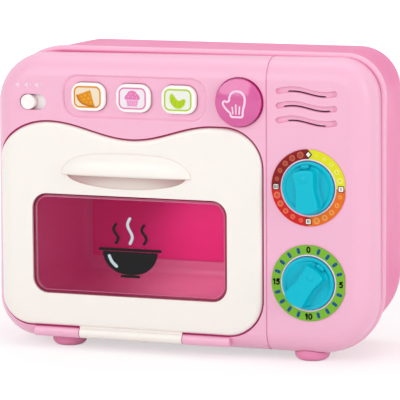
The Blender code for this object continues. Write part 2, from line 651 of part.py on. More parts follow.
def plate(name, outlines, front, back):
    """A flat piece between two depths; the first outline is its edge, the others are holes."""
    curve_data = bpy.data.curves.new(name, "CURVE")
    curve_data.dimensions = "2D"
    curve_data.fill_mode = "BOTH"
    curve_data.extrude = (back - front) / 2
    for outline in outlines:
        spline = curve_data.splines.new("POLY")
        spline.points.add(len(outline) - 1)
        for point, (x, z) in zip(spline.points, outline):
            point.co = (x, z, 0.0, 1.0)
        spline.use_cyclic_u = True
    mesh = mesh_from_curve(name, curve_data)
    upright = Matrix.Translation((0, behind((front + back) / 2), 0)) @ Matrix.Rotation(math.pi / 2, 4,
                                                                                       "X")
    mesh.transform(upright)
    return add_object(name, mesh)


def bar(name, left, right, bottom, top, front, back):
    """A plain block between depths."""
    bpy.ops.mesh.primitive_cube_add(size=1)
    made = bpy.context.active_object
    made.data.transform(Matrix.Diagonal((right - left, back - front, top - bottom, 1)))
    middle = ((left + right) / 2, behind((front + back) / 2), (bottom + top) / 2)
    made.data.transform(Matrix.Translation(middle))
    return adopt(made, name)


def adopt(made, name):
    """Puts an object made by an operator among the cutters."""
    for collection in list(made.users_collection):
        collection.objects.unlink(made)
    CUTTERS.objects.link(made)
    made.name = name
    made.hide_render = True
    made.display_type = "WIRE"
    return made


def rod(name, x, z, radius, front, back, steps=24):
    """A round bar along the depth."""
    bpy.ops.mesh.primitive_cylinder_add(vertices=steps, radius=radius, depth=back - front)
    made = bpy.context.active_object
    made.data.transform(Matrix.Rotation(math.pi / 2, 4, "X"))
    made.data.transform(Matrix.Translation((x, behind((front + back) / 2), z)))
    return adopt(made, name)


def cross_rod(name, left, right, depth, z, radius, steps=24):
    """A round bar along X."""
    bpy.ops.mesh.primitive_cylinder_add(vertices=steps, radius=radius, depth=right - left)
    made = bpy.context.active_object
    made.data.transform(Matrix.Rotation(math.pi / 2, 4, "Y"))
    made.data.transform(Matrix.Translation(((left + right) / 2, behind(depth), z)))
    return adopt(made, name)


def turned(name, x, z, profile, steps=24):
    """A turned piece about a depth axis; the profile's points are (radius, depth)."""
    mesh = bpy.data.meshes.new(name)
    points = [(radius, 0.0, -depth) for radius, depth in profile]
    closed = all(radius > 0 for radius, depth in profile)
    edges = [(i, i + 1) for i in range(len(points) - 1)]
    if closed:
        edges.append((len(points) - 1, 0))
    mesh.from_pydata(points, edges, [])
    made = add_object(name, mesh)
    made.rotation_euler = (math.pi / 2, 0, 0)
    made.location = (x, FACE_Y, z)
    screw = made.modifiers.new("turn", "SCREW")
    screw.steps = steps
    screw.render_steps = steps
    screw.use_merge_vertices = True
    screw.merge_threshold = WELD
    screw.use_smooth_shade = True
    return made


def bevel(made, width, segments, angle=35):
    modifier = made.modifiers.new("rounding", "BEVEL")
    modifier.width = width
    modifier.segments = segments
    modifier.limit_method = "ANGLE"
    modifier.angle_limit = math.radians(angle)
    modifier.use_clamp_overlap = False
    return made


def combine(target, tool, operation):
    modifier = target.modifiers.new(tool.name, "BOOLEAN")
    modifier.operation = operation
    modifier.solver = "MANIFOLD" if target.name in MANIFOLD_PIECES else "EXACT"
    modifier.object = tool
    return target


def cut(target, *tools):
    for tool in tools:
        combine(target, tool, "DIFFERENCE")
    return target


def join(target, *tools):
    for tool in tools:
        combine(target, tool, "UNION")
    return target


def keep(target, tool):
    return combine(target, tool, "INTERSECT")


def rounded_block(name, front_quad, back_quad, radii, front, back, open_face, edge_round):
    """A box between two four-cornered outlines with rounded long edges; one end may be left open."""
    block = bar(name, -1, 1, -1, 1, front, back)
    shaped = bmesh.new()
    shaped.from_mesh(block.data)
    weights = shaped.edges.layers.float.new("bevel_weight_edge")
    widest = max(radii)
    order = ((-1, -1), (1, -1), (1, 1), (-1, 1))
    corner_of = {}
    for vertex in shaped.verts:
        corner = order.index((round(math.copysign(1, vertex.co.x)), round(math.copysign(1, vertex.co.z))))
        quad = front_quad if vertex.co.y < behind((front + back) / 2) else back_quad
        vertex.co.x, vertex.co.z = quad[corner]
        corner_of[vertex] = corner
    for edge in shaped.edges:
        first, second = (corner_of[vertex] for vertex in edge.verts)
        if first == second:
            edge[weights] = radii[first] / widest
    if open_face:
        wanted = -1 if open_face == "front" else 1
        faces = [face for face in shaped.faces if face.normal.y * wanted > FACING_SHARE]
        bmesh.ops.delete(shaped, geom=faces, context="FACES_ONLY")
    shaped.to_mesh(block.data)
    shaped.free()
    corners = block.modifiers.new("corners", "BEVEL")
    corners.width = widest
    corners.segments = CORNER_STEPS
    corners.limit_method = "WEIGHT"
    corners.use_clamp_overlap = False
    if edge_round:
        bevel(block, edge_round, FILLET_STEPS, 50)
    return block


def bezel_block(name, grow, back, open_face=None):
    radii = [radius + grow for radius in BEZEL_CORNERS]
    quad = bezel_quad(grow)
    return rounded_block(name, quad, quad, radii, -grow, back, open_face, FRONT_FILLET + grow)


def housing_block(name, grow):
    """The bezel's outer form as a closed block that reaches past its back."""
    return bezel_block(name, grow, 2 * BEZEL_DEPTH)


def rear_block(name, grow, open_face=None):
    radii = [radius + grow for radius in REAR_CORNERS]
    return rounded_block(name, rear_quad(grow), rear_quad(grow, REAR_SIDE_TAPER, REAR_BOTTOM_TAPER),
                         radii,
                         REAR_FRONT - grow, BODY_DEPTH + grow, open_face, REAR_EDGE_FILLET)


def wall_inside(shell, thickness):
    solidify = shell.modifiers.new("wall", "SOLIDIFY")
    solidify.thickness = thickness
    solidify.offset = -1
    solidify.use_even_offset = True
    return shell


def rim_bead(name, radius):
    """A round bead that follows the housing's outline at the back of the bezel."""
    curve_data = bpy.data.curves.new(name, "CURVE")
    curve_data.dimensions = "3D"
    curve_data.bevel_depth = radius
    curve_data.bevel_resolution = 2
    outline = rim_outline()
    spline = curve_data.splines.new("POLY")
    spline.points.add(len(outline) - 1)
    for point, (x, z) in zip(spline.points, outline):
        point.co = (x, behind(BEZEL_DEPTH - RIM_RADIUS), z, 1.0)
    spline.use_cyclic_u = True
    return add_object(name, mesh_from_curve(name, curve_data))


def button_places():
    first = BUTTON_MIDDLE_X - BUTTON_GAPS * BUTTON_PITCH / 2
    return [(name, first + BUTTON_PITCH * i) for i, name in enumerate(BUTTON_NAMES)]


def button_outline(x, grow=0.0):
    half_width, half_height = BUTTON_WIDTH / 2 + grow, BUTTON_HEIGHT / 2 + grow
    return rounded_box_outline(x - half_width, x + half_width, BUTTON_Z - half_height,
                               BUTTON_Z + half_height, BUTTON_RADIUS + grow, 4)


def recess_outline(grow=0.0):
    half_height = BUTTON_HEIGHT / 2 + RECESS_MARGIN_Z + grow
    return rounded_box_outline(RECESS_LEFT - grow, RECESS_RIGHT + grow, BUTTON_Z - half_height,
                               BUTTON_Z + half_height, RECESS_RADIUS + grow)


def recess_cutter():
    """The recess as stacked outlines, so that its edge slopes in softly."""
    rings = [(recess_outline(RECESS_MOUTH_SHARE * RECESS_SLOPE), -CUT_OVERRUN),
             (recess_outline(RECESS_SLOPE), -WELD)]
    rings += [(recess_outline(width_share * RECESS_SLOPE), depth_share * RECESS_DEPTH)
              for width_share, depth_share in RECESS_SLOPE_SHARES]
    return loft("recess", rings)


def loft(name, rings):
    """A closed body through outlines of equal length at growing depths."""
    return skinned(name, [[(x, behind(depth), z) for x, z in outline] for outline, depth in rings])


def skinned(name, sections):
    """A closed body through sections with equal numbers of points."""
    shaped = bmesh.new()
    rows = [[shaped.verts.new(point) for point in section] for section in sections]
    for near, far in zip(rows, rows[1:]):
        for i in range(len(near)):
            shaped.faces.new((near[i - 1], near[i], far[i], far[i - 1]))
    shaped.faces.new(rows[0])
    shaped.faces.new(rows[-1])
    bmesh.ops.recalc_face_normals(shaped, faces=shaped.faces)
    mesh = bpy.data.meshes.new(name)
    shaped.to_mesh(mesh)
    shaped.free()
    return add_object(name, mesh)


def slot_outline(grow=0.0):
    radius = SLOT_HEIGHT / 2 + grow
    return rounded_box_outline(SLOT_LEFT - grow, SLOT_RIGHT + grow, SLOT_Z - radius, SLOT_Z + radius,
                               radius * ROUND_END_SHARE, 6)


def grille_outline(z, length, width, lower=0.0):
    """One wavy slot with round ends; it can sit lower than the groove's middle."""
    def middle(along):
        x = GRILLE_X + (along - 0.5) * (length - width)
        phase = (x - GRILLE_X) / GRILLE_LENGTH + 0.5 - GRILLE_WAVE_LAG
        return (x, z - lower + GRILLE_WAVE * math.sin(2 * math.pi * phase))
    steps, half = 10, width / 2
    line = [middle(i / steps) for i in range(steps + 1)]
    low = [(x, height - half) for x, height in line]
    high = [(x, height + half) for x, height in reversed(line)]
    right = arc(line[-1][0], line[-1][1], half, half, -60, 60, 3)
    left = arc(line[0][0], line[0][1], half, half, 120, 240, 3)
    return low + right + high + left


def cavity_corners(margin, depth_share):
    """Left, right, bottom and top of the tapered cavity at a share of its depth."""
    side = CAVITY_SIDE_DRAFT * depth_share - margin
    floor = CAVITY_FLOOR_DRAFT * depth_share - margin
    return CAVITY_LEFT + side, CAVITY_RIGHT - side, CAVITY_BOTTOM + floor, CAVITY_TOP - floor


def control_posts():
    middle = (CONTROL_BOARD_LEFT + CONTROL_BOARD_RIGHT) / 2
    return ((middle, CONTROL_BOARD_TOP - BOARD_EDGE_TO_POST),
            (middle, CONTROL_BOARD_BOTTOM + BOARD_EDGE_TO_POST))


def door_screw_places():
    low = DOOR_BOTTOM + DOOR_SCREW_LOW_RISE
    left, right = DOOR_LEFT + DOOR_SCREW_INSET_X, DOOR_RIGHT - DOOR_SCREW_INSET_X
    return ((left + DOOR_SCREW_INSET_X, low), (right, low), (left, DOOR_SCREW_HIGH_Z),
            (right, DOOR_SCREW_HIGH_Z))


def make_bezel():
    bezel = bezel_block("bezel", 0.0, BEZEL_DEPTH, "back")
    wall_inside(bezel, WALL)
    join(bezel, rim_bead("rim_bead", RIM_RADIUS))
    pocket_grow = DOOR_GAP + POCKET_WALL
    tub = plate("pocket_block", [door_outline(pocket_grow)], -CUT_OVERRUN, SHELF_BACK)
    keep(tub, housing_block("pocket_limit", -WALL / 2))
    join(bezel, tub)
    backing = plate("recess_backing", [recess_outline(RECESS_BACKING_MARGIN)], WALL / 2,
                    RECESS_FLOOR_BACK)
    beam = bar("hinge_beam", HINGE_BOSS_LEFT, HINGE_BOSS_RIGHT, BODY_BOTTOM + WALL / 2,
               DOOR_BOTTOM + POCKET_WALL, HINGE_DEPTH + HINGE_RADIUS,
               HINGE_DEPTH + HINGE_RADIUS + HINGE_BEAM_DEPTH)
    keep(beam, housing_block("beam_limit", -WALL / 2))
    join(bezel, backing, beam)
    for side, left, right in (("left", HINGE_BOSS_LEFT, HINGE_BARREL_LEFT - HINGE_GAP / 2),
                              ("right", HINGE_BARREL_RIGHT + HINGE_GAP / 2, HINGE_BOSS_RIGHT)):
        boss = cross_rod("hinge_boss_" + side, left, right, HINGE_DEPTH, HINGE_Z, HINGE_RADIUS)
        join(bezel, boss)
    for i, (x, z) in enumerate(CASE_SCREW_PLACES):
        front = SHELF_BACK - SHELF_WALL / 2 if x < DOOR_RIGHT and z < DOOR_TOP else WALL / 2
        join(bezel, rod(f"case_boss_{i}", x, z, CASE_BOSS_RADIUS, front, CASE_BOSS_BACK, 16))
    for i, (x, z) in enumerate(control_posts()):
        join(bezel, rod(f"control_post_{i}", x, z, POST_RADIUS, WALL / 2, CONTROL_BOARD_DEPTH - FIT, 12))
    for i, (x, z) in enumerate(FUNCTION_POST_PLACES):
        join(bezel, rod(f"function_post_{i}", x, z, POST_RADIUS, WALL / 2, FUNCTION_BOARD_DEPTH - FIT,
                        12))
    ring_inner = SPEAKER_RADIUS + SLIDING_GAP
    ring = plate("speaker_ring", [circle(GRILLE_X, GRILLE_Z, ring_inner + SPEAKER_RING_WALL, 24),
                                  circle(GRILLE_X, GRILLE_Z, ring_inner,
                                         24)], WALL / 2, WALL + SPEAKER_RING_HEIGHT)
    join(bezel, ring)

    pocket = plate("door_pocket", [door_outline(DOOR_GAP)], -FRONT_FILLET, SHELF_FRONT)
    mouth = cavity_corners(0.0, 0.0)
    opening = plate("cavity_mouth", [rounded_box_outline(*mouth, CAVITY_CORNER)], 0.0,
                    SHELF_BACK + CUT_OVERRUN)
    cut(bezel, pocket, opening)
    trough = cross_rod("barrel_trough", HINGE_BARREL_LEFT - HINGE_GAP / 2,
                       HINGE_BARREL_RIGHT + HINGE_GAP / 2,
                       HINGE_DEPTH, HINGE_Z, HINGE_RADIUS + HINGE_GAP)
    way_up = bar("web_way", HINGE_BARREL_LEFT - HINGE_GAP / 2, HINGE_BARREL_RIGHT + HINGE_GAP / 2,
                 HINGE_Z,
                 DOOR_BOTTOM + CUT_OVERRUN, -FRONT_FILLET, HINGE_DEPTH + HINGE_RADIUS + HINGE_GAP / 2)
    pin_bore = cross_rod("pin_bore", HINGE_BOSS_LEFT - CUT_OVERRUN, HINGE_BOSS_RIGHT - PIN_END_WALL,
                         HINGE_DEPTH,
                         HINGE_Z, HINGE_PIN_RADIUS + FIT, 16)
    cut(bezel, trough, way_up, pin_bore)
    cut(bezel, recess_cutter())
    for name, x in button_places():
        cut(bezel, plate(name + "_hole", [button_outline(x, SLIDING_GAP)], 0.0,
                         RECESS_FLOOR_BACK + CUT_OVERRUN))
    cut(bezel, rod("mitt_hole", MITT_X, MITT_Z, MITT_RADIUS + MITT_GAP, -CUT_OVERRUN,
                   RECESS_FLOOR_BACK + CUT_OVERRUN, 32))
    cut(bezel, plate("slider_slot", [slot_outline()], -CUT_OVERRUN, WALL + CUT_OVERRUN))
    for name, z in DIAL_HEIGHTS.items():
        cut(bezel, rod(name + "_hole", DIAL_X, z, KNOB_RADIUS + SLIDING_GAP, -CUT_OVERRUN,
                       WALL + CUT_OVERRUN, 32))
    for i in (-1, 0, 1):
        z = GRILLE_Z + GRILLE_PITCH * i
        reach = 2 * math.sqrt(GRILLE_RADIUS ** 2 - (GRILLE_PITCH * i) ** 2)
        drop = (GRILLE_SLOT - GRILLE_SLIT) / 2 - FIT
        cut(bezel, plate(f"grille_groove_{i}", [grille_outline(z, GRILLE_LENGTH, GRILLE_SLOT)],
                         -CUT_OVERRUN, GRILLE_GROOVE),
            plate(f"grille_slit_{i}", [grille_outline(z, reach, GRILLE_SLIT, drop)], 0.0,
                  WALL + CUT_OVERRUN))
    seam = bar("seam", SEAM_X - SEAM_WIDTH / 2, SEAM_X + SEAM_WIDTH / 2, BODY_BOTTOM - CUT_OVERRUN,
               BODY_TOP + CUT_OVERRUN, -CUT_OVERRUN, BEZEL_DEPTH - 2 * RIM_RADIUS)
    cut(seam, housing_block("seam_floor", -SEAM_DEPTH))
    cut(bezel, seam)
    for i, (x, z) in enumerate(CASE_SCREW_PLACES):
        cut(bezel, rod(f"case_pilot_{i}", x, z, SCREW_RADIUS + FIT,
                       CASE_BOSS_BACK - CASE_SCREW_BITE - CUT_OVERRUN,
                       CASE_BOSS_BACK + CUT_OVERRUN, 12))
    for places, depth, name in ((control_posts(), CONTROL_BOARD_DEPTH, "control"),
                                (FUNCTION_POST_PLACES, FUNCTION_BOARD_DEPTH, "function")):
        for i, (x, z) in enumerate(places):
            cut(bezel, rod(f"{name}_pilot_{i}", x, z, SCREW_RADIUS + FIT, depth - BOARD_SCREW_LENGTH,
                           depth + CUT_OVERRUN, 12))
    for side in (-1, 1):
        cut(bezel, foot_hole(side * FOOT_SPREAD_FRONT, FOOT_FRONT_DEPTH))
    return finish_part(bezel, "front_bezel", PALE_PINK)


def foot_hole(x, depth):
    radius = FOOT_SPIGOT_RADIUS + FIT
    bpy.ops.mesh.primitive_cylinder_add(vertices=16, radius=radius, depth=2 * FOOT_BLANK_HEIGHT)
    made = bpy.context.active_object
    made.data.transform(Matrix.Translation((x, behind(depth), 0)))
    return adopt(made, "foot_hole")


def make_rear_housing():
    rear = rear_block("rear", 0.0, "front")
    wall_inside(rear, WALL)
    for i, (x, z) in enumerate(CASE_SCREW_PLACES):
        join(rear, rod(f"case_tube_{i}", x, z, CASE_TUBE_RADIUS, CASE_BOSS_BACK + FIT,
                       BODY_DEPTH - WALL / 2, 16))
    for i, (x, z) in enumerate(CASE_SCREW_PLACES):
        cut(rear, rod(f"case_clear_{i}", x, z, SCREW_HOLE_RADIUS, CASE_BOSS_BACK - CUT_OVERRUN,
                      CASE_SEAT_DEPTH + CUT_OVERRUN, 12))
        cut(rear, rod(f"case_head_{i}", x, z, CASE_HEAD_BORE, CASE_SEAT_DEPTH, BODY_DEPTH + CUT_OVERRUN,
                      16))
    hatch = rounded_box_outline(HATCH_LEFT, HATCH_RIGHT, HATCH_BOTTOM, HATCH_TOP, HATCH_RADIUS, 4)
    cut(rear, plate("hatch_hole", [hatch], BODY_DEPTH - 2 * WALL, BODY_DEPTH + CUT_OVERRUN))
    for side in (-1, 1):
        cut(rear, foot_hole(side * FOOT_SPREAD_REAR, FOOT_REAR_DEPTH))
    return finish_part(rear, "rear_housing", PINK)


def make_cavity_liner():
    left, right, bottom, top = cavity_corners(0.0, 0.0)
    liner = bar("liner", left, right, bottom, top, LINER_FRONT, CAVITY_BACK)
    shaped = bmesh.new()
    shaped.from_mesh(liner.data)
    back_corners = cavity_corners(0.0, 1.0)
    weights = shaped.edges.layers.float.new("bevel_weight_edge")
    for vertex in shaped.verts:
        if vertex.co.y > behind((LINER_FRONT + CAVITY_BACK) / 2):
            vertex.co.x = back_corners[0] if vertex.co.x < (left + right) / 2 else back_corners[1]
            vertex.co.z = back_corners[2] if vertex.co.z < (bottom + top) / 2 else back_corners[3]
    for edge in shaped.edges:
        if abs(edge.verts[0].co.y - edge.verts[1].co.y) > CAVITY_DEPTH / 2:
            edge[weights] = 1.0
    front = [face for face in shaped.faces if face.normal.y < -FACING_SHARE]
    bmesh.ops.delete(shaped, geom=front, context="FACES_ONLY")
    shaped.to_mesh(liner.data)
    shaped.free()
    corners = liner.modifiers.new("corners", "BEVEL")
    corners.width = CAVITY_CORNER
    corners.segments = 5
    corners.limit_method = "WEIGHT"
    corners.use_clamp_overlap = False
    bevel(liner, CAVITY_BACK_FILLET, 3, 50)
    solidify = liner.modifiers.new("wall", "SOLIDIFY")
    solidify.thickness = CAVITY_WALL
    solidify.offset = 1
    solidify.use_even_offset = True
    flange_edge = cavity_corners(CAVITY_FLANGE, 0.0)
    flange_hole = cavity_corners(CAVITY_WALL / 2, 0.0)
    flange = plate("liner_flange", [rounded_box_outline(*flange_edge, CAVITY_CORNER + CAVITY_FLANGE),
                                    rounded_box_outline(*flange_hole, CAVITY_CORNER + CAVITY_WALL / 2)],
                   LINER_FRONT, LINER_FLANGE_BACK)
    join(liner, flange)
    lamp_x = (CAVITY_LEFT + CAVITY_RIGHT) / 2
    cut(liner, lamp_rod("lamp_hole", lamp_x, LAMP_RADIUS + FIT, CUT_OVERRUN))
    return finish_part(liner, "cavity_liner", PINK)


def lamp_rod(name, x, radius, overrun):
    """An upright bar through the cavity's roof."""
    roof = CAVITY_TOP - CAVITY_FLOOR_DRAFT * LAMP_DEPTH / CAVITY_BACK
    bpy.ops.mesh.primitive_cylinder_add(vertices=16, radius=radius, depth=LAMP_LENGTH + 2 * overrun)
    made = bpy.context.active_object
    made.data.transform(Matrix.Translation((x, behind(LAMP_DEPTH), roof - LAMP_PROUD + LAMP_LENGTH / 2)))
    return adopt(made, name)


def make_cavity_fittings():
    lamp = lamp_rod("lamp", (CAVITY_LEFT + CAVITY_RIGHT) / 2, LAMP_RADIUS, 0.0)
    bevel(lamp, LAMP_RADIUS / 2, 2)
    finish_part(lamp, "cavity_lamp", WHITE)
    left, right, bottom, top = cavity_corners(0.0, 1.0)
    card_outline = rounded_box_outline(left + CAVITY_CARD_SIDE_MARGIN, right - CAVITY_CARD_SIDE_MARGIN,
                                       bottom + CAVITY_CARD_BOTTOM_MARGIN, top - CAVITY_CARD_TOP_MARGIN,
                                       WINDOW_RIB, 3)
    card = plate("card", [card_outline], CAVITY_BACK - FIT - CAVITY_CARD_THICKNESS, CAVITY_BACK - FIT)
    finish_part(card, "cavity_back_card", MAGENTA)


def handle_hood():
    """The hood over the finger scoop: full in the middle, falling away to both ends."""
    middle, half = (HANDLE_LEFT + HANDLE_RIGHT) / 2, (HANDLE_RIGHT - HANDLE_LEFT) / 2
    section = ((0.0, HANDLE_LIP_SHARE), (HANDLE_LIP_HEIGHT / HANDLE_RISE, 1.0)) + HANDLE_SECTION_SHARES
    inside_skin = behind(DOOR_SKIN_BACK - DOOR_SKIN / 2)
    steps = 16
    rows = []
    for i in range(steps + 1):
        across = math.cos(math.pi * i / steps)
        full = max(math.sqrt(max(1 - abs(across) ** HANDLE_FULLNESS, 0.0)), HANDLE_END_SHARE)
        rise, reach = HANDLE_RISE * full, HANDLE_REACH * full
        x = middle + half * across
        row = [(x, behind(-DOOR_PROUD - reach * out), HANDLE_LIP_Z + rise * up) for up, out in section]
        row += [(x, inside_skin, HANDLE_LIP_Z + rise), (x, inside_skin, HANDLE_LIP_Z)]
        rows.append(row)
    return skinned("handle_hood", rows)


def scoop_ball(name, grow):
    """The finger scoop: a squashed ball, deeper below the lip than above it."""
    bpy.ops.mesh.primitive_uv_sphere_add(segments=28, ring_count=14, radius=1)
    made = bpy.context.active_object
    for vertex in made.data.vertices:
        height = SCOOP_DROP if vertex.co.z < 0 else SCOOP_LIFT
        depth = SCOOP_FRONT if vertex.co.y < 0 else SCOOP_BACK
        vertex.co.x *= SCOOP_WIDTH / 2 + grow
        vertex.co.y *= depth + grow
        vertex.co.z *= height + grow
    middle = ((HANDLE_LEFT + HANDLE_RIGHT) / 2, behind(-DOOR_PROUD), HANDLE_LIP_Z)
    made.data.transform(Matrix.Translation(middle))
    return adopt(made, name)


def make_door_skin():
    skin = plate("door_skin", [door_outline()], -DOOR_PROUD - FIT, DOOR_BACK)
    bevel_front_loop(skin, DOOR_EDGE_ROUND, 3)
    keep(skin, housing_block("door_form", DOOR_PROUD))
    hollow = plate("door_hollow", [door_outline(-DOOR_SKIN)], -FRONT_FILLET, DOOR_BACK + CUT_OVERRUN)
    keep(hollow, housing_block("hollow_form", DOOR_PROUD - DOOR_SKIN))
    cut(skin, hollow)
    hood = handle_hood()
    backing = scoop_ball("scoop_backing", SCOOP_WALL)
    keep(backing, bar("scoop_limit", HANDLE_LEFT, HANDLE_RIGHT, WINDOW_TOP, DOOR_TOP,
                      DOOR_SKIN_BACK - DOOR_SKIN / 2,
                      INNER_FRAME_FRONT))
    join(skin, hood, backing)
    for i, (x, z) in enumerate(door_screw_places()):
        join(skin, rod(f"door_boss_{i}", x, z, DOOR_BOSS_RADIUS, DOOR_SKIN_BACK - DOOR_SKIN / 2,
                       INNER_FRAME_FRONT - FIT, 12))
    barrel_left, barrel_right = HINGE_BARREL_LEFT + HINGE_GAP / 2, HINGE_BARREL_RIGHT - HINGE_GAP / 2
    barrel = cross_rod("hinge_barrel", barrel_left, barrel_right, HINGE_DEPTH, HINGE_Z, HINGE_RADIUS)
    web = bar("hinge_web", barrel_left + WELD, barrel_right - WELD, HINGE_Z, DOOR_BOTTOM + DOOR_SKIN / 2,
              HINGE_DEPTH - HINGE_WEB / 2, HINGE_DEPTH + HINGE_WEB / 2)
    join(skin, web, barrel)
    cut(skin, scoop_ball("scoop", 0.0))
    cut(skin, plate("window_hole", [window_outline()], -FRONT_FILLET, DOOR_BACK))
    cut(skin, cross_rod("barrel_bore", barrel_left - CUT_OVERRUN, barrel_right + CUT_OVERRUN, HINGE_DEPTH,
                        HINGE_Z,
                        HINGE_PIN_RADIUS + FIT, 16))
    for i, (x, z) in enumerate(door_screw_places()):
        cut(skin, rod(f"door_pilot_{i}", x, z, SCREW_RADIUS + FIT, INNER_FRAME_FRONT - DOOR_SCREW_LENGTH,
                      INNER_FRAME_FRONT + CUT_OVERRUN, 12))
    return finish_part(skin, "door_front_panel", IVORY)


def bevel_front_loop(made, width, segments):
    """Rounds only the edges of the frontmost face."""
    front = min(vertex.co.y for vertex in made.data.vertices)
    shaped = bmesh.new()
    shaped.from_mesh(made.data)
    weights = shaped.edges.layers.float.new("bevel_weight_edge")
    for edge in shaped.edges:
        level = all(abs(vertex.co.y - front) < WELD for vertex in edge.verts)
        if level and edge.calc_face_angle(0.0) > math.radians(35):
            edge[weights] = 1.0
    shaped.to_mesh(made.data)
    shaped.free()
    modifier = made.modifiers.new("rounding", "BEVEL")
    modifier.width = width
    modifier.segments = segments
    modifier.limit_method = "WEIGHT"
    modifier.use_clamp_overlap = False
    return made


def make_door_inside():
    frame = plate("inner_frame", [door_outline(-DOOR_SKIN - SLIDING_GAP), window_outline()],
                  INNER_FRAME_FRONT, DOOR_BACK)
    rib = plate("window_rib", [window_outline(WINDOW_RIB), window_outline(FIT)], PANE_BACK + FIT,
                INNER_FRAME_FRONT + INNER_FRAME_WALL / 2)
    join(frame, rib)
    for i, (x, z) in enumerate(door_screw_places()):
        cut(frame, rod(f"frame_hole_{i}", x, z, SCREW_HOLE_RADIUS, INNER_FRAME_FRONT - CUT_OVERRUN,
                       DOOR_BACK + CUT_OVERRUN, 12))
        cut(frame, rod(f"frame_head_{i}", x, z, SCREW_HEAD_RADIUS + FIT,
                       DOOR_BACK - SCREW_HEAD * SCREW_SUNK_SHARE,
                       DOOR_BACK + CUT_OVERRUN, 16))
    finish_part(frame, "door_inner_frame", IVORY)

    pane_front = PANE_SET_BACK - DOOR_PROUD
    pane = plate("pane", [window_outline(-FIT)], pane_front, PANE_BACK)
    bevel_front_loop(pane, PANE_BEVEL / 2, 2)
    join(pane, plate("pane_flange", [window_outline(PANE_LAP)], DOOR_SKIN_BACK + FIT, PANE_BACK))
    finish_part(pane, "door_window_pane", MAGENTA, alpha=0.6)

    magnet_z = DOOR_TOP - DOOR_VALLEY_DROP - CATCH_DROP
    magnet = rod("magnet", CATCH_X, magnet_z, CATCH_MAGNET_RADIUS,
                 INNER_FRAME_FRONT - FIT - CATCH_MAGNET_LENGTH,
                 INNER_FRAME_FRONT - FIT, 20)
    finish_part(magnet, "door_catch_magnet", GREY_STEEL, 1.0)
    catch = bar("catch", CATCH_X - CATCH_PLATE_WIDTH / 2, CATCH_X + CATCH_PLATE_WIDTH / 2,
                magnet_z - CATCH_PLATE_HEIGHT / 2, magnet_z + CATCH_PLATE_HEIGHT / 2, SHELF_BACK + FIT,
                SHELF_BACK + FIT + CATCH_PLATE_THICKNESS)
    finish_part(catch, "door_catch_plate", GREY_STEEL, 1.0)
    reed_depth = SHELF_BACK + 2 * FIT + CATCH_PLATE_THICKNESS + REED_RADIUS
    reed = cross_rod("reed", CATCH_X - REED_LENGTH / 2, CATCH_X + REED_LENGTH / 2, reed_depth, magnet_z,
                     REED_RADIUS, 12)
    bevel(reed, REED_RADIUS / 2, 2)
    finish_part(reed, "door_reed_switch", SILICONE)

    pin = cross_rod("pin", HINGE_BOSS_LEFT + HINGE_GAP, HINGE_BOSS_RIGHT - PIN_END_WALL - HINGE_GAP,
                    HINGE_DEPTH,
                    HINGE_Z, HINGE_PIN_RADIUS, 16)
    finish_part(pin, "hinge_pin", GREY_STEEL, 1.0)


def make_recipe_buttons():
    made = []
    for name, x in button_places():
        cap = plate(name, [button_outline(x)], -BUTTON_PROUD, BUTTON_FLANGE_FRONT + WELD)
        bevel_front_loop(cap, BUTTON_ROUND, 2)
        flange = plate(name + "_flange", [button_outline(x, BUTTON_FLANGE)], BUTTON_FLANGE_FRONT,
                       BUTTON_FLANGE_BACK)
        post_end = DOME_TOP - BUTTON_TRAVEL - FIT
        post = rod(name + "_post", x, BUTTON_Z, BUTTON_POST_RADIUS, BUTTON_FLANGE_FRONT, post_end, 12)
        join(cap, flange, post)
        finish_part(cap, name + "_button", WHITE)
        made.append((cap, (x, FACE_Y, BUTTON_Z)))
    return made


def make_mitt_button():
    crown = []
    steps = 5
    for i in range(steps + 1):
        share = i / steps
        crown.append((MITT_RADIUS * (1 - share), -MITT_PROUD - MITT_DOME * (1 - (1 - share) ** 2)))
    outer = list(reversed(crown))
    back = WALL + FIT + MITT_TAB_THICKNESS
    inner_radius = MITT_RADIUS - MITT_WALL
    inside = [(MITT_RADIUS, back), (inner_radius, back), (inner_radius, -MITT_PROUD + MITT_WALL),
              (0.0, -MITT_PROUD - MITT_DOME / 2 + MITT_WALL)]
    button = turned("mitt", MITT_X, MITT_Z, outer + inside, 32)
    tabs = bar("mitt_tabs", MITT_X - MITT_RADIUS - MITT_TAB, MITT_X + MITT_RADIUS + MITT_TAB,
               MITT_Z - MITT_TAB_WIDTH / 2, MITT_Z + MITT_TAB_WIDTH / 2, WALL + FIT, back - WELD)
    cut(tabs, rod("mitt_tab_bore", MITT_X, MITT_Z, inner_radius + MITT_WALL / 2, 0.0, back + CUT_OVERRUN,
                  32))
    post = rod("mitt_post", MITT_X, MITT_Z - MITT_POST_DROP, BUTTON_POST_RADIUS, -MITT_PROUD,
               DOME_TOP - MITT_TRAVEL - FIT, 12)
    join(button, tabs, post)
    finish_part(button, "mitt_button", MITT_PINK)
    return button


